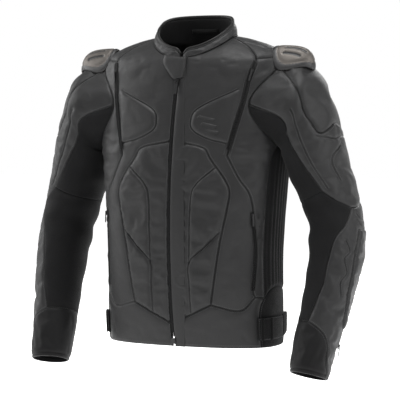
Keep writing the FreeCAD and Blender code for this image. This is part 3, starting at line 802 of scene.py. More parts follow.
def leather_material(name, colour, worn, roughness, seamed=True, shine=0.24):
    """Milled cowhide: pebble grain, pores, slow tone changes, wear along seams."""
    n = Nodes(name)
    pebbles = n.texture("ShaderNodeTexVoronoi", 900.0)
    pebbles.feature = "SMOOTH_F1"
    creases = n.texture("ShaderNodeTexNoise", 160.0, Detail=8.0, Roughness=0.62)
    tone = n.texture("ShaderNodeTexNoise", 14.0, Detail=5.0, Roughness=0.6)
    cloud = n.range_of(tone.outputs["Fac"], 0.3, 0.7, 0.0, 1.0)
    base = n.mix(cloud, tuple(c * 0.82 for c in colour), tuple(c * 1.18 for c in colour))
    pores = n.range_of(pebbles.outputs["Distance"], 0.05, 0.55, 0.7, 1.05)
    base = n.mix(1.0, base, pores, "MULTIPLY")
    rough = n.range_of(creases.outputs["Fac"], 0.3, 0.75, roughness - 0.07, roughness + 0.1)
    if seamed:
        seam = n.add("ShaderNodeAttribute", attribute_name="seam").outputs["Fac"]
        near = n.range_of(seam, 1.4, 4.5, 1.0, 0.0)
        patchy = n.range_of(creases.outputs["Fac"], 0.35, 0.65, 0.1, 1.0)
        rub = n.maths("MULTIPLY", near, patchy)
        base = n.mix(n.maths("MULTIPLY", rub, 0.22), base, worn)
        rough = n.maths("SUBTRACT", rough, n.maths("MULTIPLY", rub, 0.06))
        base = n.mix(n.range_of(seam, 0.7, 2.3, 0.95, 0.0), base, (0.001, 0.001, 0.001))
    n.link(base, n.shader.inputs["Base Color"])
    n.link(rough, n.shader.inputs["Roughness"])
    n.shader.inputs["Specular IOR Level"].default_value = shine
    n.shader.inputs["Sheen Weight"].default_value = 0.03
    n.shader.inputs["Sheen Roughness"].default_value = 0.5
    grain = n.bump(pebbles.outputs["Distance"], 0.35, 0.0004)
    n.link(n.bump(creases.outputs["Fac"], 0.35, 0.0009, grain), n.shader.inputs["Normal"])
    return n.material


def stretch_material(name, colour):
    """Ribbed stretch fabric: fine crossed yarns over a soft dull pile."""
    n = Nodes(name)
    yarn_a = n.add("ShaderNodeTexWave", wave_type="BANDS", bands_direction="Z")
    yarn_b = n.add("ShaderNodeTexWave", wave_type="BANDS", bands_direction="DIAGONAL")
    for yarn, scale in ((yarn_a, 330.0), (yarn_b, 260.0)):
        yarn.inputs["Scale"].default_value = scale
        yarn.inputs["Distortion"].default_value = 0.6
        n.link(n.place, yarn.inputs["Vector"])
    weave = n.maths("MULTIPLY", yarn_a.outputs["Fac"], yarn_b.outputs["Fac"])
    fluff = n.texture("ShaderNodeTexNoise", 420.0, Detail=4.0)
    base = n.toned(colour, 18.0, 4.0, 0.75, 1.25)
    base = n.mix(1.0, base, n.range_of(weave, 0.0, 1.0, 0.72, 1.15), "MULTIPLY")
    n.link(base, n.shader.inputs["Base Color"])
    n.link(n.range_of(fluff.outputs["Fac"], 0.3, 0.7, 0.72, 0.9), n.shader.inputs["Roughness"])
    n.shader.inputs["Sheen Weight"].default_value = 0.05
    n.shader.inputs["Sheen Roughness"].default_value = 0.4
    n.shader.inputs["Specular IOR Level"].default_value = 0.15
    n.link(n.bump(weave, 0.5, 0.0004), n.shader.inputs["Normal"])
    return n.material


def metal_material(name, colour, metallic, roughness):
    """Coated metal with fine scratches and rubbed edges."""
    n = Nodes(name)
    scratches = n.texture("ShaderNodeTexNoise", 240.0, Detail=10.0, Roughness=0.7)
    n.link(n.toned(colour, 30.0, 6.0, 0.85, 1.12), n.shader.inputs["Base Color"])
    n.shader.inputs["Metallic"].default_value = metallic
    n.link(n.range_of(scratches.outputs["Fac"], 0.3, 0.75, roughness - 0.06, roughness + 0.14),
           n.shader.inputs["Roughness"])
    n.link(n.bump(scratches.outputs["Fac"], 0.08, 0.0003), n.shader.inputs["Normal"])
    return n.material


def plastic_material(name, colour, roughness):
    """Dull moulded plastic, foam or thread with a fine grain."""
    n = Nodes(name)
    grain = n.texture("ShaderNodeTexNoise", 900.0, Detail=3.0)
    n.link(n.toned(colour, 40.0, 4.0, 0.85, 1.15), n.shader.inputs["Base Color"])
    n.link(n.range_of(grain.outputs["Fac"], 0.3, 0.7, roughness - 0.06, roughness + 0.08),
           n.shader.inputs["Roughness"])
    n.link(n.bump(grain.outputs["Fac"], 0.25, 0.0002), n.shader.inputs["Normal"])
    return n.material


LEATHER = leather_material("leather_charcoal", (0.0115, 0.0115, 0.0118), (0.04, 0.04, 0.041), 0.46)
DARK_LEATHER = leather_material("leather_cuff", (0.004, 0.004, 0.0042), (0.015, 0.015, 0.015), 0.55,
                                shine=0.14)
PIPING = leather_material("leather_piping", (0.003, 0.003, 0.003), (0.05, 0.05, 0.05), 0.42, seamed=False,
                          shine=0.2)
STRETCH = stretch_material("stretch_fabric", (0.0045, 0.0045, 0.0048))
LINING = stretch_material("mesh_lining", (0.004, 0.004, 0.0042))
TAPE = stretch_material("zip_tape", (0.002, 0.002, 0.002))
TEETH = metal_material("zip_teeth_metal", (0.012, 0.012, 0.0125), 0.6, 0.5)
HARDWARE = metal_material("black_hardware", (0.018, 0.018, 0.0185), 0.6, 0.4)
CAP_METAL = metal_material("titanium_cap", (0.105, 0.096, 0.088), 0.85, 0.5)
CAP_TRIM = plastic_material("cap_trim", (0.008, 0.008, 0.0085), 0.45)
THREAD = plastic_material("thread", (0.035, 0.035, 0.036), 0.65)


# ---------------------------------------------------------------- piping and thread

def piping(batch, hull, surface, line, radius, lift=0.5):
    """A leather-covered cord sewn into a seam."""
    points, normals = hull.lay(surface, resample(np.asarray(line, float), 3.0), lift)
    batch.tube(calmed(points), normals, radius)


def calmed(points, rounds=2):
    """The same line with its small jumps smoothed out."""
    for _ in range(rounds):
        points = np.concatenate([points[:1], 0.25 * points[:-2] + 0.5 * points[1:-1] + 0.25 * points[2:],
                                 points[-1:]])
    return points


def sewing(batch, hull, surface, line, offsets):
    """Rows of stitches beside a seam."""
    line = resample(np.asarray(line, float), 2.0)
    for offset in offsets:
        points, normals = hull.lay(surface, offset_line(line, offset), -0.1)
        batch.grains(calmed(points, 1), normals, STITCH_PITCH, STITCH_SIZE)


STITCH_PITCH = 3.6
STITCH_SIZE = (2.5, 0.7, 0.45)
BESIDE_GROOVE = (-2.6, 2.6)


def piped(name, hull, surface, lines, radius):
    """One mesh of piping along several seams."""
    batch = Batch()
    for line in lines:
        piping(batch, hull, surface, line, radius)
    return batch.finish(name, [PIPING], True)


def stitched(name, hull, surface, rows):
    """One mesh of stitches: rows are pairs of a line and its rows' distances from the line."""
    batch = Batch()
    for line, offsets in rows:
        sewing(batch, hull, surface, line, offsets)
    return batch.finish(name, [THREAD])


def each(lines, offsets):
    """The same rows of stitches for several lines."""
    return [(line, offsets) for line in lines]


# ---------------------------------------------------------------- torso seams (left half)

FLY = 2.8
RIB_PITCH = 13.0
NECK = TOP - 0.02


def fly_line(z_from, z_to):
    """The zip-side edge of the front between two heights."""
    count = max(2, int(abs(z_to - z_from) / 40) + 2)
    return smooth_line([front(FLY, z) for z in np.linspace(z_from, z_to, count)])


def neck_line(first, last, count=24):
    return smooth_line([around_at(math.radians(a), NECK) for a in np.linspace(first, last, count)])


def front_line(*points):
    """A seam through (x, z) points of the front."""
    return smooth_line([front(x, z) for x, z in points])


def turned_line(*points):
    """A seam through (degrees, level) points round the body."""
    return smooth_line([turned(a, z) for a, z in points])


ZIP_TOP_ANGLE = -math.degrees(math.acos(FLY / NECK_HALF_WIDTH))
VENT_TOP = (155, -49)
VENT_FOOT = (116, -240)
SIDE_FOOT = (163, -522)
ABDOMEN_CORNER = (84, -537)
HEM_MIDDLE_Z = -577
SIDE_TURN = 27.0
SIDE_TOP_PHI = 150.0
YOKE_PHI = 22.0
HIP_Z = -517.0
PATCH_Z = -524.0
FRONT_TURN = 20.0
BACK_SEAM_Z = -300.0
BACK_HEM_Z = -545.0

seam_fly_upper = fly_line(-212, -46)
seam_fly_upper = np.concatenate([seam_fly_upper[:-1], [around_at(math.radians(ZIP_TOP_ANGLE), NECK)]])
seam_fly_middle = fly_line(HEM_MIDDLE_Z, -212)
seam_fly_lower = fly_line(HEM_Z, HEM_MIDDLE_Z)
seam_neck_front = neck_line(ZIP_TOP_ANGLE, -10.0)
seam_yoke = smooth_line([seam_neck_front[-1], front(124, -20), front(*VENT_TOP)])
seam_vent = front_line(VENT_TOP, (147, -88), (139, -139), VENT_FOOT)
seam_side_front = front_line(VENT_FOOT, (138, -284), (160, -328), (163, -415), (160, -502), SIDE_FOOT)
seam_abdomen_side = front_line(ABDOMEN_CORNER, (87, -521), (106, -406), (118, -347), (120, -302),
                               (84, -247), (66, -225), (FLY, -212))
seam_abdomen_foot = front_line(ABDOMEN_CORNER, (45, -556), (FLY, HEM_MIDDLE_Z))
seam_hem_front = front_line(SIDE_FOOT, (138, -548), ABDOMEN_CORNER)
armhole_front = smooth_line(armhole_chart(YOKE_PHI, SIDE_TOP_PHI))
armhole_under = smooth_line(armhole_chart(SIDE_TOP_PHI, 360 - SIDE_TOP_PHI))
armhole_back = smooth_line(armhole_chart(360 - SIDE_TOP_PHI, 360 - YOKE_PHI))
armhole_top = smooth_line(armhole_chart(-YOKE_PHI, YOKE_PHI))
seam_cap = smooth_line([front(*VENT_TOP), armhole_front[0]])
side_front_foot = turned(-FRONT_TURN, PATCH_Z)
side_back_foot = turned(SIDE_TURN, HIP_Z)
seam_side_fore = smooth_line([armhole_front[-1], turned(-19, -262), turned(-19, -400), side_front_foot])
seam_side_back = smooth_line([armhole_under[-1], turned(24, -262), turned(SIDE_TURN, -400), side_back_foot])
seam_hip = smooth_line([front(*SIDE_FOOT), side_front_foot])
seam_side_hem_top = turned_line((-FRONT_TURN, PATCH_Z), (-10, -508), (2, -504), (SIDE_TURN, HIP_Z))
seam_side_hem_top[0] = side_front_foot
seam_side_hem_top[-1] = side_back_foot
hem_side_front = turned(-26, HEM_Z)
hem_side_back = turned(25, HEM_Z)
seam_hem_fore = smooth_line([side_front_foot, turned(-25, -541), turned(-27, -570), hem_side_front])
seam_hem_back = smooth_line([side_back_foot, hem_side_back])
hem_edge_front = smooth_line([hem_side_front, turned(-45, HEM_Z), turned(-70, HEM_Z), front(FLY, HEM_Z)])
hem_edge_side = turned_line((25, HEM_Z), (0, HEM_Z), (-26, HEM_Z))


chest_mark = front_line((128, -110), (52, -147), (38, -173), (45, -191), (76, -207), (112, -216))
pad_upper = front_line((93, -265), (58, -297), (47, -325), (44, -400), (43, -452))
pad_lower = front_line((104, -392), (74, -422), (43, -453), (42, -500), (42, -553))
QUILTING = [chest_mark, pad_upper, pad_lower]


def other_side(line):
    """The mirror image of a chart line, on the wearer's right."""
    line = np.asarray(line)
    return np.stack([2 * QUARTER - line[:, 0], line[:, 1]], 1)


def two_sided(*lines):
    return [half for line in lines for half in (line, other_side(line))]


BACK_QUILTING = two_sided(turned_line((66, -80), (70, -180), (76, -262)),
                          turned_line((66, -80), (50, -95), (38, -135)),
                          turned_line((60, -300), (52, -400), (64, -520)))


# ---------------------------------------------------------------- relief of the panels
# Every relief takes chart points, skin points and distances from the edge, and gives a rise in mm.

def puffed(height, reach, wrinkle, scale, seed):
    """Relief of a lined panel: a soft rise from its seams and leather creases."""
    def relief(chart, base, edge):
        rise = height * (1 - np.exp(-edge / reach))
        crease = noise(base, scale, seed) + 0.5 * noise(base, np.asarray(scale) * 0.47, seed + 3)
        sharp = ridges(base, np.asarray(scale) * 0.8, seed + 11)
        settle = fade(edge, 0.0, 14.0)
        return rise + wrinkle * settle * (0.7 * crease - 0.8 * (1 - sharp) ** 3)
    return relief


def raised(relief, loops, height, soft=5.0):
    """The same relief with padded fields lifted above it."""
    def higher(chart, base, edge):
        rise = relief(chart, base, edge)
        for loop in loops:
            within = inside(chart, loop)
            depth = distance_to(chart, loop, True)
            rise = rise + np.where(within, height * fade(depth, 0.0, soft), 0.0)
        return rise
    return higher


ZONES = {
    "shoulder": ("jacket", "upper_sleeve_SIDE", (0.198, 0.0, -0.1), (0.232, 0.0, -0.1)),
    "elbow": ("upper_sleeve_SIDE", "forearm_SIDE", (0.303, 0.014, -0.344), (0.306, 0.0, -0.432)),
}


def attach(obj, where, nodes=(), word="left"):
    """What the frame needs to know: the body or bending zone, the finish and the CAD nodes."""
    if where in ZONES:
        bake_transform(obj)
    else:
        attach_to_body(obj, where.replace("SIDE", word))
    if nodes:
        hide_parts(*[node.replace("SIDE", word) for node in nodes])


def pair(left, where, nodes=()):
    """Keeps a left piece and its mirror image on the right."""
    right = mirror_object(left, left.name.replace("_left", "_right"))
    attach(left, where, nodes, "left")
    attach(right, where, nodes, "right")
    return left, right


def torso_panels():
    creases = (46.0, 46.0, 30.0)
    chest_loop = joined(seam_fly_upper, seam_neck_front, seam_yoke, seam_vent, seam_side_front,
                        seam_hem_front, seam_abdomen_side)
    mark_field = np.concatenate([chest_mark, [front(VENT_FOOT[0] + 4, -216)], [front(132, -110)]])
    chest = panel("chest_panel_left", torso_skin, chest_loop,
                  raised(puffed(2.2, 9.0, 1.5, creases, 5), [mark_field], 3.0), LEATHER, LINING,
                  grooves=[chest_mark])
    pair(chest, "jacket", ["chest_panel_SIDE"])
    field_upper = np.concatenate([pad_upper, front_line((43, -452), (74, -422), (104, -392)),
                                  front_line((116, -345), (118, -303), (93, -265))])
    field_lower = np.concatenate([pad_lower, front_line((80, -536), (86, -521), (104, -392))])
    abdomen_loop = joined(seam_fly_middle, seam_abdomen_side[::-1], seam_abdomen_foot)
    abdomen = panel("abdomen_panel_left", torso_skin, abdomen_loop,
                    raised(puffed(2.0, 8.0, 1.3, (60.0, 60.0, 34.0), 21), [field_upper, field_lower], 3.0),
                    LEATHER, LINING, grooves=[pad_upper, pad_lower], pressure=2.0, most=3.0)
    pair(abdomen, "jacket", ["abdomen_panel_SIDE"])
    side_loop = joined(seam_cap, armhole_front, seam_side_fore, seam_hip[::-1], seam_side_front[::-1],
                       seam_vent[::-1])
    side = panel("side_front_left", torso_skin, side_loop, puffed(1.8, 8.0, 3.2, (60.0, 60.0, 18.0), 33),
                 LEATHER, LINING)
    pair(side, "jacket", ["side_front_SIDE"])
    yoke_loop = joined(seam_neck_front[-1:], seam_yoke, seam_cap, armhole_top[::-1],
                       seam_back_yoke_left()[::-1], neck_line(40.0, -10.0, 20))
    yoke_fold = front_line((118, -15), (138, -20), (160, -26))
    yoke = panel("shoulder_yoke_left", torso_skin, yoke_loop, puffed(1.8, 8.0, 1.0, creases, 41),
                 LEATHER, LINING, grooves=[yoke_fold])
    pair(yoke, "jacket", ["front_yoke_SIDE"])
    stretch_loop = joined(armhole_under, seam_side_back, seam_side_hem_top[::-1], seam_side_fore[::-1])
    stretch = panel("side_stretch_left", torso_skin, stretch_loop, pleated, STRETCH, LINING, spacing=3.6)
    pair(stretch, "jacket", ["side_stretch_SIDE"])
    hem_loop = joined(seam_fly_lower, seam_abdomen_foot[::-1], seam_hem_front[::-1], seam_hip, seam_hem_fore,
                      hem_edge_front)
    hem = panel("hem_front_left", torso_skin, hem_loop, puffed(1.6, 8.0, 1.6, (40.0, 40.0, 30.0), 51),
                LEATHER, LINING)
    pair(hem, "jacket", ["hem_front_SIDE"])
    side_hem_loop = joined(seam_side_hem_top, seam_hem_back, hem_edge_side, seam_hem_fore[::-1])
    side_hem = panel("side_hem_left", torso_skin, side_hem_loop,
                     puffed(1.4, 7.0, 1.0, (40.0, 40.0, 30.0), 57), STRETCH, LINING)
    pair(side_hem, "jacket")
    return [chest, abdomen, side, yoke, stretch, hem, side_hem]


def pleated(chart, base, edge):
    """Flat ribs that run down the side panel, with narrow valleys between them."""
    phase = chart[:, 0] / RIB_PITCH * math.pi
    valley = np.abs(np.sin(phase + 0.12 * noise(base, 60.0, 59))) ** 0.45
    return fade(edge, 0.0, 9.0) * (3.0 * valley - 0.8) + 0.6 * noise(base, 40.0, 61)


def seam_back_yoke_left():
    """From the neck over the back of the shoulder to the armhole."""
    neck = around_at(math.radians(40.0), NECK)
    return smooth_line([neck, turned(34, -22), turned(22, -36), armhole_back[-1]])


def back_panels():
    neck_back = neck_line(40.0, 90.0)
    neck_back = np.concatenate([neck_back[:-1], other_side(neck_back)[::-1]])
    left_yoke = seam_back_yoke_left()
    across = turned_line((SIDE_TURN, BACK_SEAM_Z), (50, BACK_SEAM_Z + 8), (90, BACK_SEAM_Z + 30))
    down_at = int(np.argmin(np.abs(seam_side_back[:, 1] - across[0][1])))
    across[0] = seam_side_back[down_at]
    across = np.concatenate([across[:-1], other_side(across)[::-1]])
    upper_side = seam_side_back[:down_at + 1]
    lower_side = seam_side_back[down_at:]
    upper_loop = joined(left_yoke, armhole_back[::-1], upper_side, across, other_side(upper_side)[::-1],
                        other_side(armhole_back), other_side(left_yoke)[::-1], neck_back[::-1])
    upper = panel("back_panel_upper", torso_skin, upper_loop, puffed(2.4, 10.0, 2.0, (60.0, 60.0, 34.0), 71),
                  LEATHER, LINING, spacing=6.0, grooves=BACK_QUILTING[:4])
    attach(upper, "jacket", ["back_panel_upper", "back_yoke"])
    hem_top = turned_line((SIDE_TURN, HIP_Z), (45, BACK_HEM_Z), (90, BACK_HEM_Z))
    hem_top[0] = side_back_foot
    hem_top = np.concatenate([hem_top[:-1], other_side(hem_top)[::-1]])
    lower_loop = joined(across[::-1], lower_side, hem_top, other_side(lower_side)[::-1])
    lower = panel("back_panel_lower", torso_skin, lower_loop, puffed(2.2, 10.0, 2.2, (64.0, 64.0, 26.0), 83),
                  LEATHER, LINING, spacing=6.0, grooves=BACK_QUILTING[4:])
    attach(lower, "jacket", ["back_panel_lower"])
    hem_back_edge = turned_line((25, HEM_Z), (50, HEM_Z), (90, HEM_Z))
    hem_back_edge = np.concatenate([hem_back_edge[:-1], other_side(hem_back_edge)[::-1]])
    hem_loop = joined(hem_top[::-1], seam_hem_back, hem_back_edge, other_side(seam_hem_back)[::-1])
    hem = panel("hem_back", torso_skin, hem_loop, puffed(1.6, 8.0, 1.4, (50.0, 50.0, 30.0), 91),
                LEATHER, LINING, spacing=6.0)
    attach(hem, "jacket", ["hem_back"])
    return [upper, lower, hem]


# ---------------------------------------------------------------- sleeves

BACK_SEAM_UPPER = [(-75, 0.0), (-84, 1.0), (-92, 2.5), (-88, 4.0), (-85, 5.05)]
BACK_SEAM_LOWER = [(-85, 5.05), (-88, 6.5), (-92, 8.0), (-96, 9.25)]
FRONT_SEAM = [(92, 0.0), (98, 0.7), (105, 1.5), (105, 2.5), (93, 3.8), (74, 5.05)]
WEDGE_TOP = [(74, 5.05), (55, 5.41), (24, 5.68)]
WEDGE_FOOT = [(24, 5.68), (46, 6.23), (70, 6.76), (80, 7.48), (81, 7.95), (88, 8.5), (99, 9.12),
              (101, 9.28)]
ELBOW_OUTER = [(24, 5.68), (0, 5.62), (-40, 5.35), (-85, 5.05)]
ELBOW_INNER = [(74, 5.05), (110, 5.12), (180, 5.12), (240, 5.1), (275, 5.05)]
DELTOID = [(42, 0.0), (50, 0.75), (60, 1.7), (55, 2.4), (42, 2.94), (1, 2.73), (-40, 2.9), (-60, 2.6),
           (-70, 1.8), (-61, 0.75), (-57, 0.0)]
CUFF_FRONT = [(101, 9.28), (56, 9.54), (36, 9.85), (27, 10.2), (20, 10.5), (4, 10.8), (-27, 10.93)]
CUFF_BACK = [(-29, 10.5), (-60, 9.6), (-96, 9.25)]
CUFF_INNER = [(264, 9.25), (180, 9.25), (101, 9.28)]


def arm_line(points, turn=0.0):
    return smooth_line([arm(a + turn, s) for a, s in points])


def armhole_arc(first, last, turn=0.0):
    count = max(3, int(abs(last - first) / 4))
    return np.array([arm(a + turn, 0.0) for a in np.linspace(first, last, count)])


def fabric_relief(chart, base, edge):
    """Loose stretch fabric: slanting folds that gather in the bend of the elbow."""
    along = chart[:, 1]
    elbow = float(np.interp(6.0, POSITIONS, SLEEVE_LENGTHS))
    gather = np.exp(-((along - elbow) / 70.0) ** 2)
    slant = base @ np.array([0.35, 0.25, 1.0])
    folds = np.sin(slant / 9.0 + 1.6 * noise(base, 46.0, 101)) * (0.6 + 1.5 * gather)
    return fade(edge, 0, 16) * (folds + 1.6 * noise(base, (50.0, 50.0, 24.0), 103)) + 1.4


def sleeves():
    """The sleeve's panels, upper ones bending at the shoulder and lower ones at the elbow."""
    deltoid = arm_line(DELTOID)
    back_upper = arm_line(BACK_SEAM_UPPER)
    front_seam = arm_line(FRONT_SEAM)
    wedge_top = arm_line(WEDGE_TOP)
    wedge_foot = arm_line(WEDGE_FOOT)
    elbow_outer = arm_line(ELBOW_OUTER)
    elbow_inner = arm_line(ELBOW_INNER)
    back_lower = arm_line(BACK_SEAM_LOWER)
    front_phi = FRONT_SEAM[0][0]
    made = {}

    def shell(name, loop, relief, material, grooves=(), pressure=0.0):
        made[name] = panel(name + "_left", sleeve_skin, loop, relief, material, LINING, grooves=grooves,
                           pressure=pressure)
        return made[name]
    head = shell("sleeve_head", joined(armhole_arc(-57, DELTOID[0][0]), deltoid),
                 puffed(2.4, 8.0, 1.2, (44.0, 44.0, 30.0), 111), LEATHER, (), 1.6)
    pair(head, "shoulder", ["upper_sleeve_leather_SIDE"])
    upper_loop = joined(armhole_arc(DELTOID[0][0], front_phi), front_seam, wedge_top, elbow_outer,
                        back_upper[::-1], armhole_arc(-75, -57), deltoid[::-1])
    stripe = arm_line([(82, 1.2), (82, 2.6), (76, 3.8), (62, 5.0)])
    band_line = arm_line([(52, 3.0), (41, 3.1), (16, 3.28), (-9, 3.2), (-40, 3.3)])
    chevron = arm_line([(4, 3.55), (36, 4.08), (31, 4.85)])
    upper = shell("upper_arm", upper_loop, puffed(2.0, 8.0, 1.7, (40.0, 40.0, 26.0), 121), LEATHER,
                  [stripe, band_line, chevron], 2.0)
    pair(upper, "shoulder")
    stretch_loop = joined(front_seam[::-1], armhole_arc(front_phi, 285), arm_line(BACK_SEAM_UPPER, 360.0),
                          elbow_inner[::-1])
    inner = shell("inner_sleeve_upper", stretch_loop, fabric_relief, STRETCH)
    pair(inner, "shoulder", ["upper_sleeve_stretch_SIDE"])
    forearm_loop = joined(wedge_foot, arm_line(CUFF_FRONT), arm_line([CUFF_FRONT[-1], CUFF_BACK[0]]),
                          arm_line(CUFF_BACK), back_lower[::-1], elbow_outer[::-1])
    guard = arm_line([(10, 6.3), (20, 7.2), (8, 8.6), (-12, 9.2), (-34, 8.6), (-40, 7.2), (-28, 6.3),
                      (10, 6.3)])
    ribs = [arm_line([(14, s), (-8, s + 0.18), (-36, s)]) for s in (5.85, 6.02)]
    zigzag = arm_line([(44, 6.75), (34, 7.05), (44, 7.3), (33, 7.65), (43, 7.95), (34, 8.3)])
    forearm = shell("forearm_shell", forearm_loop,
                    raised(puffed(2.0, 8.0, 1.4, (38.0, 38.0, 30.0), 131), [guard], 3.0), LEATHER,
                    [guard, *ribs, zigzag], 2.0)
    pair(forearm, "elbow", ["forearm_leather_SIDE"])
    inner_loop = joined(elbow_inner, arm_line(BACK_SEAM_LOWER, 360.0), arm_line(CUFF_INNER), wedge_foot[::-1],
                        wedge_top[::-1])
    lower = shell("inner_sleeve_lower", inner_loop, fabric_relief, STRETCH)
    pair(lower, "elbow", ["forearm_stretch_SIDE", "elbow_gusset_SIDE"])
    cuff_top = joined(arm_line(CUFF_BACK, 360.0), arm_line(CUFF_INNER), arm_line(CUFF_FRONT))
    cuff_top = np.concatenate([cuff_top, [arm(*CUFF_FRONT[-1])]])
    end = CUFF - 0.005
    cuff_loop = joined(cuff_top, arm_line([CUFF_FRONT[-1], (-27, end)]),
                       arm_line([(-27, end), (60, end), (150, end), (240, end), (331, end)]),
                       arm_line([(331, end), (331, 10.5)]))
    cuff = shell("cuff", cuff_loop, puffed(1.6, 8.0, 1.1, (34.0, 34.0, 24.0), 141), DARK_LEATHER,
                 [arm_line([(14, 10.87), (150, 10.87), (324, 10.87)])], 2.0)
    pair(cuff, "forearm_SIDE", ["cuff_SIDE"])
    hull = Hull(made.values())
    seams = (deltoid, front_seam, back_upper, arm_line(BACK_SEAM_UPPER, 360.0))
    pair(piped("piping_upper_arm_left", hull, sleeve_skin, seams, 0.9), "shoulder")
    seams = (wedge_foot, arm_line(CUFF_FRONT), arm_line(CUFF_INNER), arm_line(CUFF_BACK), back_lower)
    pair(piped("piping_forearm_left", hull, sleeve_skin, seams, 0.9), "elbow")
    rows = each((stripe, band_line, chevron), BESIDE_GROOVE)
    rows += [(deltoid, (-3.2,)), (front_seam, (3.2,))]
    pair(stitched("stitching_upper_arm_left", hull, sleeve_skin, rows), "shoulder")
    rows = each((guard, *ribs, zigzag), BESIDE_GROOVE)
    rows += [(wedge_foot, (3.2,)), (arm_line(CUFF_FRONT), (-3.2, 3.2))]
    pair(stitched("stitching_forearm_left", hull, sleeve_skin, rows), "elbow")
    return hull


# ---------------------------------------------------------------- collar

COLLAR_RISE = 30.0


def collar_rim(angle):
    """Height of the collar's rim round the neck, with a notch at the zip."""
    fore = np.sin(angle)
    side = 22.0
    low = -27.0
    high = 43.0
    rim = side + 0.5 * (high - low) * fore + (0.5 * (high + low) - side) * fore ** 2
    notch = 11.0 * np.exp(-(np.cos(angle) * NECK_HALF_WIDTH / 9.0) ** 2) * (fore < 0)
    return rim - notch


def collar_skin(chart):
    """Stand collar: chart x is degrees round the neck, chart y the nominal rise in mm."""
    angle = np.radians(chart[:, 0])
    rise = chart[:, 1] / COLLAR_RISE
    foot = torso_at(np.where(angle > math.pi / 2, math.pi - angle, angle), np.full(len(angle), TOP))
    foot[:, 0] *= np.where(angle > math.pi / 2, -1, 1)
    fore = np.sin(angle)
    behind = np.maximum(0.0, fore)
    lean = 1 - 0.07 * rise + 0.07 * rise * behind * np.sin(2 * angle) ** 2
    middle = 5.0 * (1 - np.abs(fore))
    height = foot[:, 2] + (collar_rim(angle) - foot[:, 2]) * rise
    depth = (foot[:, 1] - middle) * lean + middle - 11.0 * rise * behind
    return np.stack([foot[:, 0] * lean, depth, height], 1)


def collar():
    """Padded stand collar with a bound rim and a soft lining that runs down into the neck."""
    first = -88.2
    last = 268.2
    low = -2.0
    loop = corner_loop([(first, low), (last, low), (last, COLLAR_RISE), (first, COLLAR_RISE)], 3.0)
    top_line = smooth_line([(first + 3, 23.0), (90, 24.0), (last - 3, 23.0)], 3.0)
    stand = panel("collar_stand", collar_skin, loop, puffed(2.0, 6.0, 0.9, (30.0, 30.0, 18.0), 151), LEATHER,
                  LINING, spacing=4.0, grooves=[top_line], wall=4.0, pressure=2.0, most=2.5)
    attach(stand, "jacket", ["collar_outer"])
    around = np.linspace(first, last, 180)
    rim = np.stack([around, np.full(len(around), COLLAR_RISE)], 1)
    points = collar_skin(rim)
    normals = skin_normals(collar_skin, rim)
    batch = Batch()
    batch.tube(points - normals * 2.0 + np.array([0, 0, 0.6]), normals, 3.1, 10)
    attach(batch.finish("collar_rim_binding", [PIPING], True), "jacket", ["collar_binding"])
    hull = Hull([stand])
    foot = smooth_line([(first + 2, 1.0), (90, 1.0), (last - 2, 1.0)], 3.0)
    attach(piped("collar_foot_piping", hull, collar_skin, [foot], 1.0), "jacket")
    rows = [(top_line, (-2.4, 2.4)), (foot, (3.4,))]
    attach(stitched("collar_stitching", hull, collar_skin, rows), "jacket")
    angles = np.linspace(first + 1, last - 1, 120)
    rises = np.linspace(-9.0, 28.0, 14)
    chart = np.stack(np.meshgrid(angles, rises, indexing="ij"), -1).reshape(-1, 2)
    lining = grid_shell("collar_facing", collar_skin, chart, (len(angles), len(rises)), -4.6, -5.6)
    attach(lining, "jacket", ["collar_lining"])


def grid_shell(name, surface, chart, shape, outside, inside_depth, keep=None, closed=False,
               normals=None):
    """A thin cloth layer on a regular chart, between two depths, leaving out the cells not kept."""
    base = surface(chart)
    normal = normals(chart) if normals else skin_normals(surface, chart)
    rows, columns = shape
    faces = []
    for i in range(rows if closed else rows - 1):
        for j in range(columns - 1):
            corner = i * columns + j
            across = (i + 1) % rows * columns + j
            if keep is None or keep(chart[corner]):
                faces.append((corner, across, across + 1, corner + 1))
    used = sorted({k for face in faces for k in face})
    number = {k: n for n, k in enumerate(used)}
    faces = [tuple(number[k] for k in face) for face in faces]
    base = base[used]
    normal = normal[used]
    count = len(used)
    edges = {(face[k], face[(k + 1) % 4]) for face in faces for k in range(4)}
    rim = [(b, a, a + count, b + count) for a, b in edges if (b, a) not in edges]
    rim.sort()
    back = [tuple(k + count for k in face[::-1]) for face in faces]
    points = np.concatenate([base + normal * outside, base + normal * inside_depth])
    return make_object(name, points, faces + back + rim, [LINING])


# ---------------------------------------------------------------- torso trim

def offset_skin(surface, depth):
    """A skin parallel to another one, depth below it."""
    def skin(chart):
        return surface(chart) - skin_normals(surface, chart) * depth
    return skin


def torso_trim(left_panels, back):
    """Piping and stitches along the torso's seams and quilting lines."""
    hull = Hull([*left_panels, *back])
    seams = (seam_abdomen_side, seam_abdomen_foot, seam_side_front, seam_hip, seam_side_fore, seam_side_back,
             seam_cap, seam_hem_front)
    pair(piped("piping_torso_left", hull, torso_skin, seams, 1.0), "jacket")
    armhole = smooth_line(armhole_chart(2, 358, 120))
    pair(piped("piping_armhole_left", hull, torso_skin, [armhole], 1.1), "shoulder")
    rows = each((seam_side_front, seam_hem_front, seam_abdomen_side, seam_abdomen_foot), (-3.4, 3.4))
    rows += each(QUILTING, BESIDE_GROOVE)
    rows += each((seam_yoke, seam_hip, seam_hem_fore), (3.2,))
    rows += [(seam_vent, (-6.5, 6.5)), (seam_back_yoke_left(), (3.2,))]
    rows += each((seam_fly_middle, seam_fly_lower, seam_fly_upper), (-4.0,))
    rows.append((offset_line(hem_edge_front, -6.0), (0.0,)))
    pair(stitched("stitching_torso_left", hull, torso_skin, rows), "jacket")
    rows = each(BACK_QUILTING, BESIDE_GROOVE)
    attach(stitched("stitching_back", hull, torso_skin, rows), "jacket")
    return hull


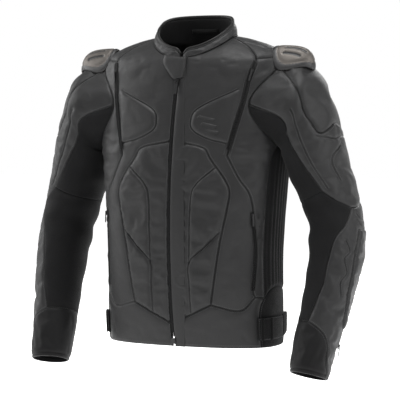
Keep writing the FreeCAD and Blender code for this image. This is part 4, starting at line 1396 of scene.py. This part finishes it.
def torso_lining():
    """Mesh lining behind the panels, open at the armholes, and the sleeve linings."""
    angles = np.radians(np.linspace(-88.6, 268.6, 128))
    stations = np.linspace(0.06, TOP, 70)
    grid = np.stack(np.meshgrid(angles, stations, indexing="ij"), -1).reshape(-1, 2)

    def skin(chart):
        angle = np.where(chart[:, 0] > math.pi / 2, math.pi - chart[:, 0], chart[:, 0])
        points = torso_at(angle, chart[:, 1])
        points[:, 0] *= np.where(chart[:, 0] > math.pi / 2, -1, 1)
        return points

    def keep(place):
        angle = place[0] if place[0] <= math.pi / 2 else math.pi - place[0]
        height = blend_rows(np.array([place[1]]), TORSO)[0, 0]
        cosine = (height - ARMHOLE_Z) / ARMHOLE_HALF
        if abs(cosine) >= 1:
            return True
        return abs(angle) > math.radians(46) * (1 - cosine ** 2) ** (ARMHOLE_BEND / 2)
    lining = parametric_shell("torso_lining", skin, grid, (len(angles), len(stations)), -5.2, -6.2, keep)
    attach(lining, "jacket")
    declare_lining(lining)
    for name, first, last, where in (("upper", 0.15, 5.05, "shoulder"), ("lower", 5.0, CUFF - 0.2, "elbow")):
        degrees = np.arange(0, 360, 7.5)
        lengths = np.interp(np.linspace(first, last, 44), POSITIONS, SLEEVE_LENGTHS)
        chart = np.stack(np.meshgrid(degrees, lengths, indexing="ij"), -1).reshape(-1, 2)
        sleeve = grid_shell(name + "_sleeve_lining_left", sleeve_skin, chart, (len(degrees), len(lengths)),
                            -4.6, -5.6, None, True)
        for obj in pair(sleeve, where):
            declare_lining(obj)


def declare_lining(obj):
    """A lining is a sheet: as long as it is high, and as wide as its area needs, with 8 % for seams."""
    low = coordinates(obj.data).min(0)
    high = coordinates(obj.data).max(0)


def parametric_shell(name, skin, chart, shape, outside, inside_depth, keep):
    """A cloth layer on a chart in radians and stations."""
    step = np.array([0.004, 0.0])
    rise = np.array([0.0, 0.02])

    def normals(chart):
        across = skin(chart + step) - skin(chart - step)
        return unit(np.cross(across, skin(chart + rise) - skin(chart - rise)))
    return grid_shell(name, skin, chart, shape, outside, inside_depth, keep, False, normals)


def facade(chart):
    """Front skin at x and z, across both sides of the zip."""
    points = []
    for x, z in chart:
        place = np.array([front(max(abs(x), 0.3), z)])
        point = torso_skin(place)[0]
        point[0] = x
        points.append(point)
    return np.array(points)


def garage():
    """Leather guard over the top of the zip, pointed below."""
    loop = smooth_line([(-36, -40), (-2, -43), (14, -45)], 3.0)
    side = smooth_line([(14, -45), (15, -66), (13, -86)], 3.0)
    foot = smooth_line([(13, -86), (-6, -90), (-18, -80), (-30, -66)], 3.0)
    back = smooth_line([(-30, -66), (-36, -55), (-36, -40)], 3.0)
    outline = joined(loop, side, foot, back)
    guard = panel("zip_guard", offset_skin(facade, -6.0), outline, puffed(1.4, 5.0, 0.5, 20.0, 161), LEATHER,
                  LINING, spacing=4.0, wall=2.2)
    attach(guard, "jacket", ["zip_garage"])


def chest_emblem():
    """Embossed plain bars on the wearer's left chest."""
    bars = [((52, -164), (88, -172)), ((60, -178), (92, -185)), ((68, -191), (96, -197))]
    for number, (start, end) in enumerate(bars):
        a, b = front_line(start, end)[[0, -1]]
        across = np.array([0.0, 3.2])
        tilt = np.array([4.0, 0.0])
        corners = [a - across, b - across, b + across + tilt, a + across + tilt]
        loop = corner_loop(corners, 2.0)
        bar = panel("chest_bar_" + str(number + 1), offset_skin(torso_skin, -5.4), loop,
                    puffed(0.8, 2.0, 0.1, 20.0, 195), LEATHER, LINING, spacing=3.0, wall=1.6, roll=0.6)
        attach(bar, "jacket")


def placket():
    """Wind flap edge that runs down the wearer's left of the zip."""
    inner = fly_line(HEM_Z, -50)
    outer = front_line((12, -50), (18, -100), (30, -230), (35, -427), (30, -560), (24, HEM_Z))
    loop = joined(inner, smooth_line([inner[-1], outer[0]]), outer, smooth_line([outer[-1], inner[0]]))

    def thin(chart, base, edge):
        return 0.5 * (1 - np.exp(-edge / 4.0)) + 0.35 * noise(base, (24.0, 24.0, 50.0), 171)
    flap = panel("zip_placket", offset_skin(torso_skin, -2.1), loop, thin, LEATHER, LINING, spacing=5.0,
                 wall=2.0, roll=0.8)
    attach(flap, "jacket")
    return outer


CAP_CENTRE = np.array([216.0, 0.0, -54.0])
CAP_SLOPE = math.radians(27.0)
CAP_HALF_LENGTH = 50.0
CAP_HALF_WIDTH = 36.0
CAP_HEIGHT = 27.0
CAP_CLEARANCE = 1.5
CAP_RIM = 0.85
UNDER_HALF_WIDTH = 42.0


def cap_width(a):
    """Width of the cap's outline at a share of its half length, 1 at the widest."""
    return 1.02 - 0.12 * a - 0.12 * a ** 2


def shoulder_cap(hulls):
    """Moulded dome over the shoulder: a metal face with four slots in a black rim."""
    out = np.array([math.cos(CAP_SLOPE), 0, -math.sin(CAP_SLOPE)])
    up = np.array([math.sin(CAP_SLOPE), 0, math.cos(CAP_SLOPE)])
    grid = np.array([(a, b) for a in np.linspace(-CAP_HALF_LENGTH, CAP_HALF_LENGTH, 15)
                     for b in np.linspace(-UNDER_HALF_WIDTH, UNDER_HALF_WIDTH, 13)])
    heights = []
    for a, b in grid:
        start = Vector(CAP_CENTRE + out * a + np.array([0, b, 0]) + up * 60)
        hits = [hull.tree.ray_cast(start, Vector(-up), 160)[0] for hull in hulls]
        hits = [hit for hit in hits if hit is not None]
        heights.append(max((np.array(hit) - CAP_CENTRE) @ up for hit in hits) if hits else -60.0)

    def terms(chart):
        a = chart[:, 0] / CAP_HALF_LENGTH
        b = chart[:, 1] / UNDER_HALF_WIDTH
        return np.stack([a ** i * b ** j for i in range(5) for j in range(5 - i)], 1)
    fit = np.linalg.lstsq(terms(grid), np.array(heights), rcond=None)[0]

    def reach(chart):
        a = chart[:, 0] / CAP_HALF_LENGTH
        b = chart[:, 1] / CAP_HALF_WIDTH
        return np.sqrt(np.clip(a ** 2 + (b / cap_width(a)) ** 2, 0, 1))

    def dome(chart):
        r = reach(chart)
        height = terms(chart) @ fit + CAP_CLEARANCE + CAP_HEIGHT * (1 - r ** 2) ** 0.85
        return CAP_CENTRE + chart[:, :1] * out + chart[:, 1:] * np.array([0, 1.0, 0]) + height[:, None] * up
    turn = np.radians(np.arange(0, 360, 5))
    b = np.sin(turn) * CAP_HALF_WIDTH * cap_width(np.cos(turn))
    loop = np.stack([np.cos(turn) * CAP_HALF_LENGTH, b], 1) * 0.985
    ring = loop * 0.84
    slots = [smooth_line([(low, side * across), (high, side * across)], 1.5)
             for side in (-1, 1) for low, high, across in ((-20, 14, 19.0), (-24, 20, 8.0))]

    def relief(chart, base, edge):
        rise = -1.2 * np.exp(-(distance_to(chart, ring, True) / 1.3) ** 2)
        for line in slots:
            rise = rise - 1.0 * (1 - fade(distance_to(chart, line), 0.9, 2.6))
        return rise

    def dark(chart):
        far = reach(chart) > CAP_RIM
        for line in slots:
            far |= distance_to(chart, line) < 1.6
        return far
    cap = panel("shoulder_cap_left", dome, loop, relief, CAP_METAL, CAP_TRIM, spacing=1.8, wall=2.4, roll=0.6,
                grooves=slots, inlay=(CAP_TRIM, dark))
    pair(cap, "jacket", ["shoulder_cap_SIDE"])


STRAP_TOP_Z = -564
STRAP_FOOT_Z = -608


def waist_straps():
    """Wide hem straps with a webbing bar, hooked to the hem in front and sewn behind."""
    def loop_of(first, last, high, low):
        return corner_loop([turned(first, high), turned(last, high), turned(last, low), turned(first, low)])
    skin = offset_skin(torso_skin, -4.6)
    outline = loop_of(-29, 5, STRAP_TOP_Z, STRAP_FOOT_Z)
    strap = panel("waist_strap_left", skin, outline, puffed(1.0, 5.0, 0.4, 26.0, 181), STRETCH, LINING,
                  spacing=5.0, wall=1.9, roll=0.9)
    pair(strap, "waist_strap_SIDE", ["waist_strap_SIDE"])
    batch = Batch()
    for angle in (-13.0, -25.0):
        line = smooth_line([turned(angle, STRAP_TOP_Z), turned(angle, STRAP_FOOT_Z)])
        points = skin(line)
        batch.strip(points, skin_normals(skin, line), -3.5, 3.5, 0.6, 2.6)
    pair(batch.finish("strap_bars_left", [TAPE], True), "waist_strap_SIDE")
    sewn = loop_of(-28, 4, STRAP_TOP_Z - 1.5, STRAP_FOOT_Z + 1.5)
    rows = [(np.concatenate([sewn, sewn[:1]]), (0.0,))]
    pair(stitched("strap_stitching_left", Hull([strap]), skin, rows), "waist_strap_SIDE")

    def lifted(chart, base, edge):
        ahead = chart[:, 0] - turned(6, -586)[0]
        return 1.0 * (1 - np.exp(-edge / 5.0)) + 0.16 * np.maximum(0.0, ahead)
    tab_loop = corner_loop([turned(6, -563), turned(21, -560), turned(18, -600), turned(6, -609)])
    tab = panel("strap_tab_left", offset_skin(torso_skin, -3.6), tab_loop, lifted, STRETCH, LINING,
                spacing=5.0, wall=1.9, roll=0.9)
    pair(tab, "jacket")


# ---------------------------------------------------------------- zips

def zip_strip(points, normals, tape_from, tape_to, tooth, pitch, lift, shift):
    """Tape and single teeth of one zip half, in one batch."""
    batch = Batch()
    batch.strip(points, normals, tape_from, tape_to, lift - 0.8, lift)
    side = frames_along(points, normals)[1]
    middle = 0.45 * tooth[1] * (1 if tape_to > -tape_from else -1)
    batch.grains(points + side * middle + normals * (lift - 0.1), normals, pitch, tooth, shift, 1)
    return batch


ZIP_FOOT_Z = -604
ZIP_TOP_Z = -60
TAPE_WIDTH = 8.8
ZIP_GAP = 0.5
ZIP_PITCH = 2.5


def front_zip():
    """The separating front zip: two tapes whose teeth meet in the middle plane."""
    count = 180
    heights = np.linspace(ZIP_FOOT_Z, ZIP_TOP_Z, count)
    points = np.stack([np.zeros(count), front_y(heights), heights], 1)
    slope = np.gradient(points[:, 1], heights)
    normals = unit(np.stack([np.zeros(count), -np.ones(count), slope], 1))
    tooth = (1.25, 2.5, 1.3)
    right = zip_strip(points, normals, ZIP_GAP, TAPE_WIDTH, tooth, ZIP_PITCH, 0.2, 0.0)
    left = zip_strip(points, normals, -TAPE_WIDTH, -ZIP_GAP, tooth, ZIP_PITCH, 0.2, 0.5)
    for batch, word in ((right, "a"), (left, "b")):
        obj = batch.finish("front_zip_half_" + word, [TAPE, TEETH])
        middle = coordinates(obj.data)[:, 0].mean()
        word = "left" if middle > 0 else "right"
        obj.name = "front_zip_" + word
        attach(obj, "jacket", ["main_zip_" + word])


def side_zips():
    """Vent zip on the chest, pocket zip in the side and the short zip of the cuff."""
    vent = front_line((154, -54), (147, -88), (139, -139), (117, -229))
    pocket = front_line((160, -352), (164, -430), (160, -508))
    cuff = arm_line([(-28, 9.64), (-28, 10.95)])
    jobs = (("vent_zip", torso_skin, vent, 2.2, 2.4, "jacket"),
            ("pocket_zip", torso_skin, pocket, 0.9, 3.0, "jacket"),
            ("cuff_zip", sleeve_skin, cuff, -0.6, 2.0, "forearm_SIDE"))
    for name, surface, line, lift, half, where in jobs:
        line = resample(line, 3.0)
        normals = skin_normals(surface, line)
        points = surface(line) + normals * lift
        batch = Batch()
        batch.strip(points, normals, -half, half, -1.6, 0.0)
        side = frames_along(points, normals)[1]
        for sign, shift in ((1, 0.0), (-1, 0.5)):
            batch.grains(points + side * sign * 0.75, normals, 2.0, (1.0, 1.7, 0.9), shift, 1)
        for sign in (1, -1):
            batch.tube(points + side * sign * (half + 0.6), normals, 1.1, 8, 2)
        pair(batch.finish(name + "_left", [TAPE, TEETH, PIPING]), where, [name + "_SIDE"])


# ---------------------------------------------------------------- pieces out of sight

TROUSER_ZIP_Z = -600
ARMOUR_RADIUS = 53.0
ARMOUR_HALF_LENGTH = 43.0
BAG_TOP_Z = -352
BAG_FOOT_Z = -508


def hidden_pieces():
    """Back protector, pocket bags, elbow armour, trouser zip and the loop to hang it by."""
    def box_loop(first, last, low, high):
        return corner_loop([turned(first, low), turned(last, low), turned(last, high), turned(first, high)])
    foam = panel("back_protector", offset_skin(torso_skin, 8.5), box_loop(64, 116, -425, -80), waffle,
                 CAP_TRIM, CAP_TRIM, spacing=6.0, wall=6.5, roll=3.0)
    attach(foam, "jacket", ["back_pad"])
    bag = panel("pocket_bag_left", offset_skin(torso_skin, 7.6), box_loop(-37, -25, BAG_FOOT_Z, BAG_TOP_Z),
                puffed(0.8, 6.0, 0.8, 30.0, 191), LINING, LINING, spacing=7.0, wall=1.2)
    for obj in pair(bag, "jacket", ["pocket_bag_SIDE"]):
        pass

    def ball(chart):
        across = np.clip(chart[:, 0], 1 - ARMOUR_HALF_LENGTH, ARMOUR_HALF_LENGTH - 1)
        radius = ARMOUR_RADIUS * np.sqrt(1 - (across / ARMOUR_HALF_LENGTH) ** 2)
        angle = chart[:, 1] / ARMOUR_RADIUS
        return ELBOW + np.stack([across, radius * np.cos(angle), radius * np.sin(angle)], 1)
    loop = corner_loop([(-29, -38), (29, -38), (29, 38), (-29, 38)])
    armour = panel("elbow_armour_left", ball, loop, waffle, CAP_TRIM, CAP_TRIM, spacing=5.0, wall=5.0,
                   roll=2.0, flip=True)
    pair(armour, "forearm_SIDE", ["elbow_armour_SIDE"])
    left = [turned_line((62, TROUSER_ZIP_Z), (76, TROUSER_ZIP_Z), (last, TROUSER_ZIP_Z)) for last in (90, 89)]
    line = resample(np.concatenate([left[0], other_side(left[1])[::-1]]), 3.0)
    skin = offset_skin(torso_skin, 7.2)
    normals = skin_normals(skin, line)
    batch = Batch()
    batch.strip(skin(line), normals, -6, 6, -0.8, 0.0)
    batch.grains(skin(line), -normals, 2.6, (1.4, 3.6, 1.6), 0.0, 1)
    attach(batch.finish("trouser_zip", [TAPE, TEETH]), "jacket", ["rear_connection_zip"])
    turn = np.linspace(0, math.pi, 24)
    low, high = [np.array(corner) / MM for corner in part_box("hanger_loop")]
    middle = 0.5 * (low + high)
    half = 0.5 * (high - low)
    inward = high[1] - 1.0 - (2 * half[1] - 2) * np.sin(turn) ** 0.6
    path = np.stack([middle[0] + (half[0] - 1.0) * np.cos(turn), inward, np.full(24, middle[2])], 1)
    batch = Batch()
    outward = np.stack([np.cos(turn), -np.sin(turn), np.zeros(24)], 1)
    batch.strip(path, outward, -4.5, 4.5, -0.7, 0.7)
    attach(batch.finish("hanging_loop", [TAPE], True), "jacket", ["hanger_loop"])


def waffle(chart, base, edge):
    """Vented foam: a grid of shallow cells."""
    cells = np.sin(chart[:, 0] / 9.0 * math.pi) * np.sin(chart[:, 1] / 9.0 * math.pi)
    return fade(edge, 2.0, 8.0) * (1.2 - 1.6 * np.maximum(cells, 0) ** 0.7)


def metal_parts():
    """Sliders, pull and box keep their CAD shape, with softened edges and coated metal."""
    for name, obj in frame["nodes"].items():
        if "slider" in name or name in ("main_zip_pull", "main_zip_box"):
            bevel = obj.modifiers.new("soft_edges", "BEVEL")
            bevel.width = 0.0004
            bevel.segments = 2
            bevel.limit_method = "ANGLE"
            obj.data.materials.clear()
            obj.data.materials.append(HARDWARE)


# ---------------------------------------------------------------- stage, lights and camera

def stage():
    mesh = bpy.data.meshes.new("studio_floor")
    size = 14.0
    z = SLEEVE_END_Z * MM - 0.12
    corners = [(-size, -size, z), (size, -size, z), (size, size, z), (-size, size, z)]
    mesh.from_pydata(corners, [], [(0, 1, 2, 3)])
    floor = bpy.data.objects.new("studio_floor", mesh)
    bpy.context.scene.collection.objects.link(floor)
    n = Nodes("floor_pale")
    n.shader.inputs["Base Color"].default_value = (0.85, 0.85, 0.85, 1)
    n.shader.inputs["Roughness"].default_value = 0.9
    n.shader.inputs["Specular IOR Level"].default_value = 0.0
    n.shader.inputs["Emission Color"].default_value = (1, 1, 1, 1)
    n.shader.inputs["Emission Strength"].default_value = 0.82
    mesh.materials.append(n.material)
    bpy.context.scene.view_settings.view_transform = "Standard"
    world = bpy.data.worlds.new("studio")
    world.use_nodes = True
    tree = world.node_tree
    place = tree.nodes.new("ShaderNodeTexCoord")
    split = tree.nodes.new("ShaderNodeSeparateXYZ")
    band = tree.nodes.new("ShaderNodeValToRGB")
    tree.links.new(place.outputs["Generated"], split.inputs["Vector"])
    tree.links.new(split.outputs["Z"], band.inputs["Fac"])
    band.color_ramp.elements[0].position = 0.12
    band.color_ramp.elements[0].color = (1, 1, 1, 1)
    band.color_ramp.elements[1].position = 0.34
    band.color_ramp.elements[1].color = (0.22, 0.22, 0.22, 1)
    tree.links.new(band.outputs["Color"], tree.nodes["Background"].inputs["Color"])
    tree.nodes["Background"].inputs["Strength"].default_value = 1.0
    bpy.context.scene.world = world


def area_light(name, place, target, size, power):
    light = bpy.data.lights.new(name, "AREA")
    light.shape = "DISK"
    light.size = size
    light.energy = power
    obj = bpy.data.objects.new(name, light)
    obj.location = place
    direction = Vector(target) - Vector(place)
    obj.rotation_euler = direction.to_track_quat("-Z", "Y").to_euler()
    bpy.context.scene.collection.objects.link(obj)


def camera():
    """The photo's view: from the wearer's front left, almost level, with a long lens."""
    azimuth = math.radians(25.0)
    distance = 3.57
    sideways = 0.010
    eye = -0.172
    pitch = math.radians(2.6)
    right = Vector((math.cos(azimuth), math.sin(azimuth), 0))
    back = Vector((math.sin(azimuth), -math.cos(azimuth), 0))
    data = bpy.data.cameras.new("camera")
    data.lens = 156.69
    data.sensor_width = 36.0
    obj = bpy.data.objects.new("camera", data)
    obj.location = back * distance + right * sideways + Vector((0, 0, eye))
    forward = -back * math.cos(pitch) - Vector((0, 0, 1)) * math.sin(pitch)
    obj.rotation_euler = forward.to_track_quat("-Z", "Y").to_euler()
    bpy.context.scene.collection.objects.link(obj)
    bpy.context.scene.camera = obj


left_panels = torso_panels()
back = back_panels()
torso_hull = torso_trim(left_panels, back)
arm_hull = sleeves()
collar()
torso_lining()
garage()
placket()
chest_emblem()
shoulder_cap([torso_hull, arm_hull])
waist_straps()
front_zip()
side_zips()
hidden_pieces()
metal_parts()
stage()
area_light("left_side", (-2.5, -0.5, 1.0), (0, 0, -0.3), 2.4, 60)
area_light("right_side", (2.7, -0.3, 1.2), (0, 0, -0.3), 2.4, 50)
area_light("front", (0.6, -3.0, 1.9), (0, 0, -0.3), 2.2, 14)
area_light("back", (0.3, 2.8, 1.4), (0, 0, -0.3), 1.8, 36)
area_light("top", (0.2, -0.5, 2.3), (0, 0, -0.2), 1.8, 66)
camera()
